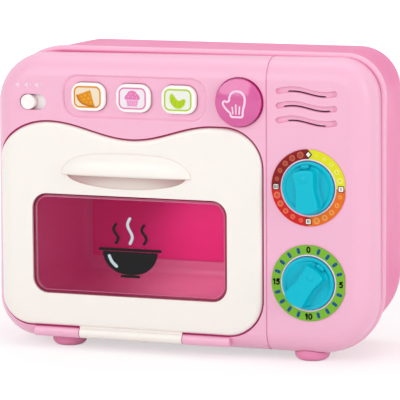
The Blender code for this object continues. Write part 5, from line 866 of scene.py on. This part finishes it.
def gripOutline(inset=0.0):
    tail, head, waist, steps = grip["tail"], grip["head"], grip["waistShare"], 22
    right = []
    for i in range(steps + 1):
        share = i / steps
        end, span = (grip["tailHalf"], waist) if share < waist else (grip["headHalf"], 1 - waist)
        flare = (1 - cos(pi * (share - waist) / span)) / 2
        right.append((grip["waistHalf"] + (end - grip["waistHalf"]) * flare, (head + tail) * share - tail))
    left = [(-x, z) for x, z in reversed(right)]
    top = [(x * grip["headHalf"], head + grip["headArch"] * (1 - x * x))
           for x in (0.9, 0.7, 0.4, 0.0, -0.4, -0.7, -0.9)]
    bottom = [(x * grip["tailHalf"], -tail - grip["tailArch"] * (1 - x * x))
              for x in (-0.92, -0.75, -0.5, -0.2, 0.2, 0.5, 0.75, 0.92)]
    return grown(softened(right + top + left + bottom, 0.35, 1.75), -inset)


def makeKnob(name):
    z, turn, end = dials["heights"][name], radians(dials["pointers"][name]), nodeBox(name + "_knob")[3]
    radius, edge, front, flange, shaft = dials["knob"], disc["edge"], disc["front"], disc["flange"], disc["shaft"]
    profile = [(0.0, front + disc["dish"][0][1])] + [(radius + out, front + depth) for out, depth in disc["dish"]]
    profile += arc(radius - edge, front + edge, edge, edge, -90, 0, 6)
    profile += [(radius, wall + 0.4), (flange, wall + 0.4), (flange, wall + 2.4), (shaft, wall + 2.4), (shaft, end),
                (0.0, end)]
    knob = turned(name + "Knob", dials["x"], z, profile, 96)
    rings = [(gripOutline(-flare), front + level) for flare, level in grip["flare"]]
    handleGrip = loft(name + "Grip", rings + roundedEdge(gripOutline, grip["edge"], -grip["front"]))
    keep(handleGrip, rod(name + "GripLimit", 0.0, 0.0, radius - 0.25, -2 * grip["front"], overrun, 96))
    face, size, height = -grip["front"], grip["dot"], grip["dotHeight"]
    dot = turned(name + "Dot", 0.0, grip["head"] - grip["dotInset"],
                 [(0.0, face - height), (size * 0.5, face - 0.9 * height), (size * 0.85, face - 0.625 * height),
                  (size, face), (size, face + 1.3), (0.0, face + 1.3)], 32)
    halfWidth, halfHeight = grip["bumpHalf"]
    bump = loft(name + "Bump", [
        (centredBox(0.0, grip["bump"], halfWidth, halfHeight, halfHeight - 0.01, 5, -inset), depth)
        for inset, depth in ((0.0, 0.0), (0.0, front - 0.6), (0.15, front - 1.0), (0.5, front - 1.3),
                             (0.9, front - 1.4))])
    handleGrip = addTool(name + "GripShape", evaluated(handleGrip))
    for tool in (handleGrip, dot, bump):
        tool.data.transform(Matrix.Translation((dials["x"], 0, z)) @ Matrix.Rotation(-turn, 4, "Y"))
    join(knob, handleGrip, dot, bump)
    settle(name + "Knob", knob, name + "_knob", tealAbs, [name + "_knob"])


feet = dict(radius=12.2, round=4.5, top=15.0, front=(90.5, 20.5), rear=(85.0, 82.0))


def makeFeet():
    radius, edge, top = feet["radius"], feet["round"], feet["top"]
    for end, side, sign in (("front", "Left", -1), ("front", "Right", 1), ("rear", "Left", -1), ("rear", "Right", 1)):
        x, depth = feet[end]
        profile = [(0.0, 0.0)] + arc(radius - edge, edge, edge, edge, -90, 0, 7) + [(radius, top), (0.0, top)]
        foot = turned(end + side + "Foot", sign * x, depth, profile, 64, upright=True)
        if end == "front":
            cut(foot, bezelSolid("footBody", clearance), rimBead("footBead", clearance))
        cut(foot, rearSolid("footRear", clearance, housing["depth"] - 2.0))
        settle(end + side + "Foot", foot, "housing", footPink, [f"foot_{end}_{side.lower()}"])


hatch = dict(left=53.0, right=122.0, bottom=62.0, top=98.0, radius=4.0, gap=0.4, screwX=118.0, head=2.9, hole=1.6,
             ridges=5, ridgePitch=3.2)


def hatchOutline(gap=0.0, inset=0.0):
    return roundedBox(hatch["left"] + gap, hatch["right"] - gap, hatch["bottom"] + gap, hatch["top"] - gap,
                      hatch["radius"], 8, -inset)


def makeHatch():
    front, back, middle = nodeBox("battery_door")[2], rear["back"], (hatch["bottom"] + hatch["top"]) / 2
    cover = loft("hatch", [(hatchOutline(hatch["gap"], inset), depth) for inset, depth in (
        (0.0, front), (0.0, back - 0.5), (0.15, back - 0.15), (0.5, back))])
    cut(cover, rod("hatchHead", hatch["screwX"], middle, hatch["head"], back - 1.9, back + overrun, 32),
        rod("hatchClear", hatch["screwX"], middle, hatch["hole"], front - overrun, back, 20))
    # Finger ridges beside the screw, so that the cover can be pushed open
    for i in range(hatch["ridges"]):
        z = middle + (i - 2) * hatch["ridgePitch"]
        cut(cover, rodBetween(f"hatchGroove{i}", (hatch["left"] + 8, back + 0.45, z),
                              (hatch["left"] + 24, back + 0.45, z), 0.9, 20))
    soften(cover, 0.2)
    settle("batteryDoor", cover, "housing", deepPinkAbs, ["battery_door"])


bezelShell = makeBezel()
print("bezel", len(bezelShell.data.polygons))
makeRear()
makeLiner()
doorPanel = makeDoor()
print("door", len(doorPanel.data.polygons))
makePane()
makeButtons()
mittCap = makeMitt()
makeSlider()
for dial in dials["heights"]:
    makeKnob(dial)
makeFeet()
makeHatch()
print("mouldings made")

inkThick = 0.06                       # how far an ink film stands out of its surface
inkSunk = 0.03                        # and how far it goes in, so that no gap shows


def ink(name, outlines, depth, body, colour, lift=0):
    settle(name, plate(name, outlines, depth - inkThick * (1 + lift), depth + inkSunk), body, inks[colour])


pads = dict(line=1.1, halfWidth=10.1, halfHeight=7.6, radius=4.2, aside=-0.3)
# Each picture: its inks, its outline with the reach of its softening, and what lies on it
pictures = {
    "pizza": dict(
        inks=("orangePad", "creamGround"), reach=0.3,
        outline=((2.3, 4.9), (-8.0, 1.1), (-7.4, -0.9), (-5.9, -3.2), (-3.4, -5.2), (-0.2, -6.4), (3.0, -6.9),
                 (5.4, -6.7)),
        crust=((-7.6, 1.0), (-6.4, -2.0), (-4.0, -4.3), (-0.6, -5.7), (2.6, -6.2), (5.0, -6.1)), crustWidth=1.1,
        toppings=((1.6, 2.0, 0.62), (-1.6, 1.1, 0.7), (-4.4, 0.2, 0.6), (-2.6, -1.9, 0.75), (0.9, -1.0, 0.7),
                  (2.6, -3.6, 0.7), (-0.4, -3.7, 0.55), (3.0, -0.6, 0.45))),
    "cupcake": dict(
        inks=("pinkPad", "greyGround"), reach=0.45,
        outline=((-5.3, -0.9), (-5.7, 0.6), (-4.9, 2.2), (-3.9, 3.0), (-3.0, 4.6), (-1.2, 5.4), (0.6, 5.5), (2.4, 4.9),
                 (3.6, 3.4), (4.8, 2.4), (5.7, 0.8), (5.3, -0.9)),
        case=((-4.6, -1.2), (4.6, -1.2), (3.6, -5.5), (-3.6, -5.5)), pleat=0.45, pleats=5, pleatPitch=1.65,
        sprinkles=((-2.9, 1.4, 0.45), (-0.9, 3.3, 0.45), (0.4, 1.2, 0.45), (2.4, 2.8, 0.45), (3.2, 0.6, 0.45))),
    "croissant": dict(
        inks=("greenPad", "mintGround"), reach=0.6,
        outline=((-5.3, 4.3), (-5.9, 2.0), (-5.8, -0.6), (-4.6, -3.2), (-2.6, -5.2), (0.0, -6.1), (2.6, -5.6),
                 (4.8, -3.6), (5.8, -0.6), (5.5, 0.6), (3.8, 0.9), (2.0, -0.3), (0.4, -0.5), (-1.0, 0.5), (-2.4, 2.6),
                 (-3.8, 4.1)),
        folds=(((-3.4, 1.8), (-4.6, -1.4)), ((-1.2, -0.6), (-2.2, -4.4)), ((1.4, -1.2), (1.8, -5.0)),
               ((3.6, -0.2), (4.6, -2.6))), foldWidth=0.45)}


def printPad(i, name):
    picture, x, z = pictures[name], buttonX(i) + pads["aside"], buttons["z"]

    def frameLine(inset):
        return centredBox(x, z, pads["halfWidth"], pads["halfHeight"], pads["radius"], grow=-inset)

    def lay(part, outlines, colour, lift=0, front=-buttons["proud"]):
        ink(name + "Print" + part, outlines, front, name + "_button", colour, lift)

    def layDots(part, spots, steps, colour):
        for k, (dotX, dotZ, radius) in enumerate(spots):
            lay(f"{part}{k}", [circle(x + dotX, z + dotZ, radius, steps)], colour, 1)

    colour, ground = picture["inks"]
    lay("Ground", [frameLine(pads["line"] / 2)], ground, front=inkThick / 2 - buttons["proud"])
    lay("Frame", [frameLine(0.0), frameLine(pads["line"])], colour)
    lay("", [moved(softened(picture["outline"], 0.3, picture["reach"]), x, z)], colour)
    if name == "pizza":
        lay("Crust", [moved(stroke(picture["crust"], picture["crustWidth"]), x, z)], "crustPad", 1)
        layDots("Topping", picture["toppings"], 24, "paleOrangePad")
    elif name == "cupcake":
        lay("Case", [moved(softened(picture["case"], 0.25, 0.3), x, z)], "palePinkPad")
        for k in range(picture["pleats"]):
            a = (k - (picture["pleats"] - 1) / 2) * picture["pleatPitch"]
            lay(f"Pleat{k}", [moved(stroke(((a, -1.6), (a * 0.8, -5.1)), picture["pleat"]), x, z)], "rosePad", 1)
        layDots("Sprinkle", picture["sprinkles"], 20, "palePinkPad")
    else:
        for k, fold in enumerate(picture["folds"]):
            lay(f"Fold{k}", [moved(stroke(fold, picture["foldWidth"]), x, z)], "deepGreenPad", 1)


glove = dict(line=1.5, finger=1.1, thick=0.16, aside=1.3, up=0.3, size=0.96,
             outline=((-6.9, 1.2), (-6.9, 3.6), (-5.6, 6.4), (-3.2, 7.9), (-0.9, 8.2), (1.6, 7.7), (3.7, 5.9),
                      (4.8, 3.0), (4.6, -0.6), (3.6, -4.2), (3.0, -7.4), (2.9, -9.6), (2.0, -10.4), (-5.2, -10.4),
                      (-6.1, -9.6), (-6.1, -7.6), (-8.2, -6.0), (-10.6, -3.6), (-12.0, -1.4), (-11.8, 0.4),
                      (-10.4, 1.0), (-8.8, 0.1)),
             lines=(((-4.6, -3.4), (-4.2, -8.0)), ((-1.9, -1.6), (-1.9, -8.0)), ((0.9, -3.0), (0.4, -8.0))))


def printMitt():
    surface = surfaceOf(mittCap)
    outline = softened(glove["outline"], 0.35, 0.7)
    films = [[grown(outline, glove["line"] / 2), grown(outline, -glove["line"] / 2)]]
    films += [[stroke(line, glove["finger"], 10)] for line in glove["lines"]]
    for i, outlines in enumerate(films):
        film = plate(f"mittPrint{i}", [moved(points, mitt["x"] + glove["aside"], mitt["z"] + glove["up"], glove["size"])
                                       for points in outlines], -glove["thick"], inkSunk)
        layOn(film, surface)
        settle(f"mittPrint{i}", film, "mitt_button", inks["mittPale"])


def ringTree():
    # Copies of one shape round a dial in equal groups; every size is an input
    tree = bpy.data.node_groups.new("dialMarks", "GeometryNodeTree")
    tree.interface.new_socket("Geometry", in_out="OUTPUT", socket_type="NodeSocketGeometry")
    for kind, names in (("Object", ["Shape"]), ("Material", ["Finish"]), ("Int", ["Groups", "Per Group"]),
                        ("Float", ["Ring Radius", "Start", "Step", "Group Step", "First Size", "Last Size"])):
        for name in names:
            tree.interface.new_socket(name, in_out="INPUT", socket_type="NodeSocket" + kind)

    def work(operation, *values):
        return calculate(tree, operation, *values)

    given = addNode(tree, "NodeGroupInput").outputs
    perGroup, ring, first = given["Per Group"], given["Ring Radius"], given["First Size"]
    index = addNode(tree, "GeometryNodeInputIndex").outputs[0]
    group = work("FLOOR", work("DIVIDE", index, perGroup))
    place = work("SUBTRACT", index, work("MULTIPLY", group, perGroup))
    turn = work("RADIANS", work("ADD", work("ADD", given["Start"], work("MULTIPLY", group, given["Group Step"])),
                                work("MULTIPLY", place, given["Step"])))
    spot = addNode(tree, "CombineXYZ", {"X": work("MULTIPLY", work("SINE", turn), ring),
                                        "Z": work("MULTIPLY", work("COSINE", turn), ring)}).outputs[0]
    lean = addNode(tree, "CombineXYZ", {"Y": turn}).outputs[0]
    growth = work("DIVIDE", work("SUBTRACT", given["Last Size"], first), work("SUBTRACT", perGroup, 1.0))
    size = work("ADD", first, work("MULTIPLY", place, growth))
    scale = addNode(tree, "CombineXYZ", {"X": size, "Y": 1.0, "Z": size}).outputs[0]
    made = addNode(tree, "GeometryNodePoints", {"Count": work("MULTIPLY", given["Groups"], perGroup), "Position": spot})
    shape = addNode(tree, "GeometryNodeObjectInfo", {"Object": given["Shape"]}).outputs["Geometry"]
    made = addNode(tree, "GeometryNodeInstanceOnPoints", {"Points": made.outputs[0], "Instance": shape,
                                                          "Rotation": lean, "Scale": scale})
    made = addNode(tree, "GeometryNodeRealizeInstances", {"Geometry": made.outputs[0]})
    made = addNode(tree, "GeometryNodeSetMaterial", {"Geometry": made.outputs[0], "Material": given["Finish"]})
    addNode(tree, "NodeGroupOutput", {"Geometry": made.outputs[0]})
    return tree


def markRing(name, shape, dial, finish, dictionary, groups, sizes, start=0.0):
    maker = addTool(name, bpy.data.meshes.new(name))
    maker.location = (dials["x"], 0, dials["heights"][dial])
    modifier = maker.modifiers.new("marks", "NODES")
    modifier.node_group = marks
    values = {"Shape": shape, "Finish": finish, "Groups": groups, "Per Group": dictionary["perGroup"],
              "Ring Radius": dictionary["ring"], "Start": dictionary["start"] + start, "Step": dictionary["step"],
              "Group Step": 90.0, "First Size": sizes[0], "Last Size": sizes[1]}
    for item in marks.interface.items_tree:
        if item.in_out == "INPUT":
            modifier[item.identifier] = values[item.name]
    settle(name, maker, "housing", finish)


warmth = dict(inks=("EDEA1F", "F0741F", "DD2222", "8F1218"), start=13.5, step=15.5, ring=23.15, perGroup=5,
              sizes=((0.75, 1.95), (1.45, 2.35), (1.45, 2.4), (1.5, 2.4)), core=0.5,
              rims=("F7F27C", "F99A38", "F2693C", "C24A22"), cores=("D9D60C", "DD7A1C", "C9481C", "93321A"),
              badge=2.2, badgeLine=0.5, badgeRadius=0.8, diamond=((0, 2.1), (1.9, 0), (0, -2.1), (-1.9, 0)))
minutes = dict(start=18.0, step=18.0, ring=23.15, perGroup=4, tickLength=4.2, tickWidth=2.2, numeralRing=23.2)
collar = dict(bore=18.66, profile=((19.85, 0.0), (19.9, -0.6), (19.6, -0.95), (19.2, -1.05), (18.85, -0.9),
                                   (18.68, -0.55), (18.68, 0.0)))
digits = {"width": 1.12, "spacing": 2.6, "0": arc(0.0, 0.0, 1.05, 1.75, 0, 360, 12)[:-1],
          "1": ((-0.6, 1.1), (-0.1, 1.45), (0.2, 1.75), (0.2, -1.8)),
          "5": ((0.85, 1.75), (-0.5, 1.75), (-0.65, 1.7), (-0.75, 0.3), (-0.6, 0.25), (0.2, 0.5), (0.85, -0.1),
                (0.9, -0.8), (0.4, -1.6), (-0.3, -1.75), (-0.9, -1.45))}


def numeral(words, x, z, front):
    for i, digit in enumerate(words):
        path = moved(digits[digit], x + (i - (len(words) - 1) / 2) * digits["spacing"], z)
        outlines = [stroke(path, digits["width"], 3)]
        if digit == "0":
            outlines = [grown(path, digits["width"] / 2), grown(path, -digits["width"] / 2)]
        ink(f"timerNumeral{words}_{i}", outlines, front, "housing", "black")


def printDials():
    x, front, outer = dials["x"], dials["labelFront"], dials["labelOuter"]
    sectors = printedRing("temperatureDialInk", x, dials["heights"]["temperature"], warmth["inks"])
    for name, finish in (("temperature", sectors), ("timer", inks["limeDial"])):
        z = dials["heights"][name]
        edge = [(min(px, x + outer - 0.6), pz) for px, pz in arc(x, z, outer, outer, 92, 448, 120)]
        ring = plate(name + "Dial", [edge + [(x, z + outer - 1.2)], circle(x, z, dials["labelInner"], 120)], front,
                     -clearance)
        settle(name + "Dial", ring, "housing", finish, [name + "_label"])
        band = turned(name + "Collar", x, z, collar["profile"], 120)
        cut(band, rod(name + "CollarBore", x, z, collar["bore"], -overrun, overrun, 120))
        settle(name + "Collar", band, "housing", lilacHighlightAbs)
    for k, sizes in enumerate(warmth["sizes"]):
        for part, share, lift, hexes in (("Rim", 1.0, 1, warmth["rims"]), ("Core", warmth["core"], 2, warmth["cores"])):
            dot = plate(f"dot{part}{k}", [circle(0, 0, 1.0, 32)], front - inkThick * lift, front + inkSunk)
            finish = moulded(f"dotInk{part}{k}", hexes[k], hexes[k], 0.4, 0.1)
            markRing(f"temperatureDots{part}{k}", dot, "temperature", finish, warmth, 1,
                     [size * share for size in sizes], 90.0 * k)
    z = dials["heights"]["temperature"]
    for part, size, colour, lift in (("Edge", 1.4, "black", 2), ("", 0.9, "white", 3)):
        diamond = moved(softened(warmth["diamond"], 0.2, 0.3), x, z + warmth["ring"] - 0.2, size)
        ink("temperatureStart" + part, [diamond], front, "housing", colour, lift)
    for k, (dx, dz) in enumerate(((1, 0), (0, -1), (-1, 0))):
        cx, cz = x + dx * warmth["ring"], z + dz * warmth["ring"]
        for part, inset, colour, lift in (("Edge", 0.0, "black", 2), ("", warmth["badgeLine"], "white", 3)):
            half = warmth["badge"] - inset
            ink(f"temperatureBadge{part}{k}", [centredBox(cx, cz, half, half, warmth["badgeRadius"] - inset / 2, 6)],
                front, "housing", colour, lift)
        for m in range(k + 1):
            bar = cx + (m - k / 2) * 0.95
            ink(f"temperatureBadgeBar{k}{m}", [stroke(((bar, cz - 0.9), (bar, cz + 0.9)), 0.5, 2)], front, "housing",
                "black", 4)
    half = minutes["tickWidth"] / 2
    tick = plate("tick", [centredBox(0, 0, half, minutes["tickLength"] / 2, half * 0.9, 6)], front - inkThick,
                 front + inkSunk)
    markRing("timerTicks", tick, "timer", inks["navy"], minutes, 4, (1.0, 1.0))
    z, ring = dials["heights"]["timer"], minutes["numeralRing"]
    for words, dx, dz in (("0", 0, 1), ("5", 1, 0), ("10", 0, -1), ("15", -1, 0)):
        numeral(words, x + dx * ring, z + dz * ring, front)


# A steaming bowl as a plain print in the middle of the window
bowl = dict(x=-36.5, z=72.0, rim=((-22.6, 1.4), (22.6, 1.4)), rimWidth=2.0, foot=((-6.4, -17.4), (6.4, -17.4)),
            side=((-20.5, 0.0), (-20.0, -3.4), (-17.6, -8.6), (-13.6, -12.6), (-8.0, -15.4), (0.0, -16.4), (8.0, -15.4),
                  (13.6, -12.6), (17.6, -8.6), (20.0, -3.4), (20.5, 0.0)), footWidth=1.9,
            shine=((-15.6, -3.4), (-13.6, -7.4), (-10.2, -10.6)), shineWidth=2.2, steamWidth=2.1, curl=1.7,
            steam=((-10.5, 6.0, 13.0, "black"), (0.0, 6.0, 17.5, "paleBlue"), (10.5, 6.0, 13.0, "black")))


def printWindow():
    def lay(part, outline, colour, lift=0):
        ink("bowlPrint" + part, [moved(outline, bowl["x"], bowl["z"])], paneFront, "door", colour, lift)

    lay("", smoothLine(bowl["side"], 5), "black")
    lay("Rim", stroke(bowl["rim"], bowl["rimWidth"]), "black", 1)
    lay("Foot", stroke(bowl["foot"], bowl["footWidth"]), "black", 1)
    lay("Shine", stroke(bowl["shine"], bowl["shineWidth"], 8), "paleBlue", 2)
    for i, (left, low, rise, colour) in enumerate(bowl["steam"]):
        path = [(left + bowl["curl"] * sin(2 * pi * k / 8), low + rise * k / 8) for k in range(9)]
        lay(f"Steam{i}", stroke(path, bowl["steamWidth"]), colour)


pictograms = dict(z=187.2, places=(-118.4, -111.6, -103.9), size=1.4, height=0.35, line=0.42, wave=1.3, wavePitch=1.1,
                  cone=((-1.9, -0.6), (-1.0, -0.6), (0.2, -1.6), (0.2, 1.6), (-1.0, 0.6), (-1.9, 0.6)))


def embossPictograms():
    # Small raised marks over the slider: sound off, low and high
    surface = surfaceOf(bezelShell)
    for i, x in enumerate(pictograms["places"]):
        shapes = [softened(pictograms["cone"], 0.15, 0.15)]
        for radius in [pictograms["wave"] + pictograms["wavePitch"] * k for k in range(i)]:
            shapes.append(stroke(arc(0.0, 0.0, radius, radius, -42, 42, 6), pictograms["line"], 2))
        for k, outline in enumerate(shapes):
            mark = plate(f"soundMark{i}{k}", [moved(outline, x, pictograms["z"], pictograms["size"])],
                         -pictograms["height"], 0.2)
            layOn(mark, surface)
            settle(f"soundMark{i}{k}", mark, "housing", paintedHighlightPink)


marks = ringTree()
for i, name in enumerate(buttons["names"]):
    printPad(i, name)
printMitt()
printDials()
printWindow()
embossPictograms()
print("prints made")

# Nodes that keep their own shape; all others that show are screws, springs and contacts
nodeFinishes = dict(
    door_inner_frame=ivoryAbs, cavity_lamp=lampGlass, cavity_back_card=cardInk, door_reed_switch=lampGlass,
    mitt_light=lampGlass, door_catch_magnet=ferrite, speaker_magnet=ferrite, speaker_cone=paperCone,
    speaker_basket=blackLacquer, control_board=solderMask, function_board=solderMask, sound_chip=blackResin,
    sound_switch=blackResin, button_pad=siliconeRubber, mitt_pad=siliconeRubber, temperature_detent_wheel=acetal,
    timer_detent_wheel=acetal, battery_tray=deepPinkAbs, battery_cell_1=cellFilm, battery_cell_2=cellFilm)
for name, node in frame["nodes"].items():
    if not node.hide_render:
        node.data.materials.clear()
        node.data.materials.append(nodeFinishes.get(name, zincSteel))

stage = dict(size=6.0, floorGlow=1.3, world=0.52, shadowNear=0.45, shadowFade=(0.28, 0.75))
# Each lamp: place, target, size, power in watts and spread in degrees; the oven's own is just under its ceiling
lamps = dict(keyLamp=((-0.6, -1.5, 0.8), (0, 0, 0.1), (1.5, 1.0), 9.6, 180),
             fillLamp=((1.5, -0.5, 0.6), (0, 0, 0.1), (0.5, 1.0), 6.6, 180),
             topLamp=((0.0, 0.2, 1.6), (0, 0, 0.1), (1.4, 1.0), 6.2, 180),
             ovenLamp=((-0.02, -0.022, 0.106), (0.012, 0.028, 0.036), (0.03, 0.02), 0.0275, 125))
camera = dict(turn=19.224, tilt=8.725, roll=-0.344, lens=262.85, sensor=36.0, place=(0.6719, -1.92686, 0.41705))


def link(name, data):
    made = bpy.data.objects.new(name, data)
    bpy.context.scene.collection.objects.link(made)
    return made


def makeFloor():
    shaped = bmesh.new()
    bmesh.ops.create_grid(shaped, x_segments=1, y_segments=1, size=stage["size"])
    floor = link("floor", meshFrom("floor", shaped, False))
    made, tree, place = newFinish("paleFloor")
    white = addNode(tree, "Emission", {"Color": linear("FFFFFF"), "Strength": stage["floorGlow"]})
    paper = addNode(tree, "BsdfDiffuse", {"Color": linear("F4F2F2")})
    ray = addNode(tree, "LightPath").outputs
    # Near the object the paper keeps its shadow, further off it fades into the white of the room
    away = addNode(tree, "VectorMath", {0: place}, operation="LENGTH").outputs["Value"]
    near, far = stage["shadowFade"]
    fade = addNode(tree, "MapRange", {"Value": away, "From Min": near, "From Max": far, "To Min": stage["shadowNear"],
                                      "To Max": 1.0}, interpolation_type="SMOOTHSTEP")
    share = calculate(tree, "MULTIPLY", calculate(tree, "MAXIMUM", ray["Is Camera Ray"], ray["Is Glossy Ray"]),
                      fade.outputs["Result"])
    mixed = addNode(tree, "MixShader", {0: share, 1: paper.outputs["BSDF"], 2: white.outputs["Emission"]})
    addNode(tree, "OutputMaterial", {"Surface": mixed.outputs["Shader"]})
    floor.data.materials.append(made)


def makeWorld():
    world = bpy.data.worlds.new("studio")
    world.use_nodes = True
    bpy.context.scene.world = world
    tree = world.node_tree
    tree.nodes.clear()
    ray = addNode(tree, "LightPath").outputs
    seen = calculate(tree, "MAXIMUM", calculate(tree, "MAXIMUM", ray["Is Camera Ray"], ray["Is Glossy Ray"]),
                     ray["Is Transmission Ray"])
    strength = addNode(tree, "MapRange", {"Value": seen, "To Min": stage["world"], "To Max": 1.0}).outputs["Result"]
    sky = addNode(tree, "Background", {"Color": linear("FFFFFF"), "Strength": strength})
    addNode(tree, "OutputWorld", {"Surface": sky.outputs["Background"]})


def addLamp(name, place, target, size, power, spread):
    lamp = bpy.data.lights.new(name, "AREA")
    lamp.shape, lamp.size, lamp.size_y, lamp.energy = "RECTANGLE", size[0], size[1], power
    lamp.spread = radians(spread)
    made = link(name, lamp)
    made.location = place
    made.rotation_euler = (Vector(target) - Vector(place)).to_track_quat("-Z", "Y").to_euler()


def makeCamera():
    turn, tilt, roll = (radians(camera[key]) for key in ("turn", "tilt", "roll"))
    forward = Vector((-sin(turn) * cos(tilt), cos(turn) * cos(tilt), -sin(tilt)))
    right = forward.cross(Vector((0, 0, 1))).normalized()
    up = right.cross(forward)
    right, up = right * cos(roll) + up * sin(roll), up * cos(roll) - right * sin(roll)
    lens = bpy.data.cameras.new("camera")
    lens.lens, lens.sensor_width, lens.clip_start, lens.clip_end = camera["lens"], camera["sensor"], 0.05, 50.0
    made = link("camera", lens)
    made.matrix_world = Matrix((right, up, -forward)).transposed().to_4x4()
    made.location = camera["place"]
    bpy.context.scene.camera = made


makeFloor()
makeWorld()
for name, settings in lamps.items():
    addLamp(name, *settings)
makeCamera()
bpy.context.scene.view_settings.view_transform = "Standard"

print("scene made")
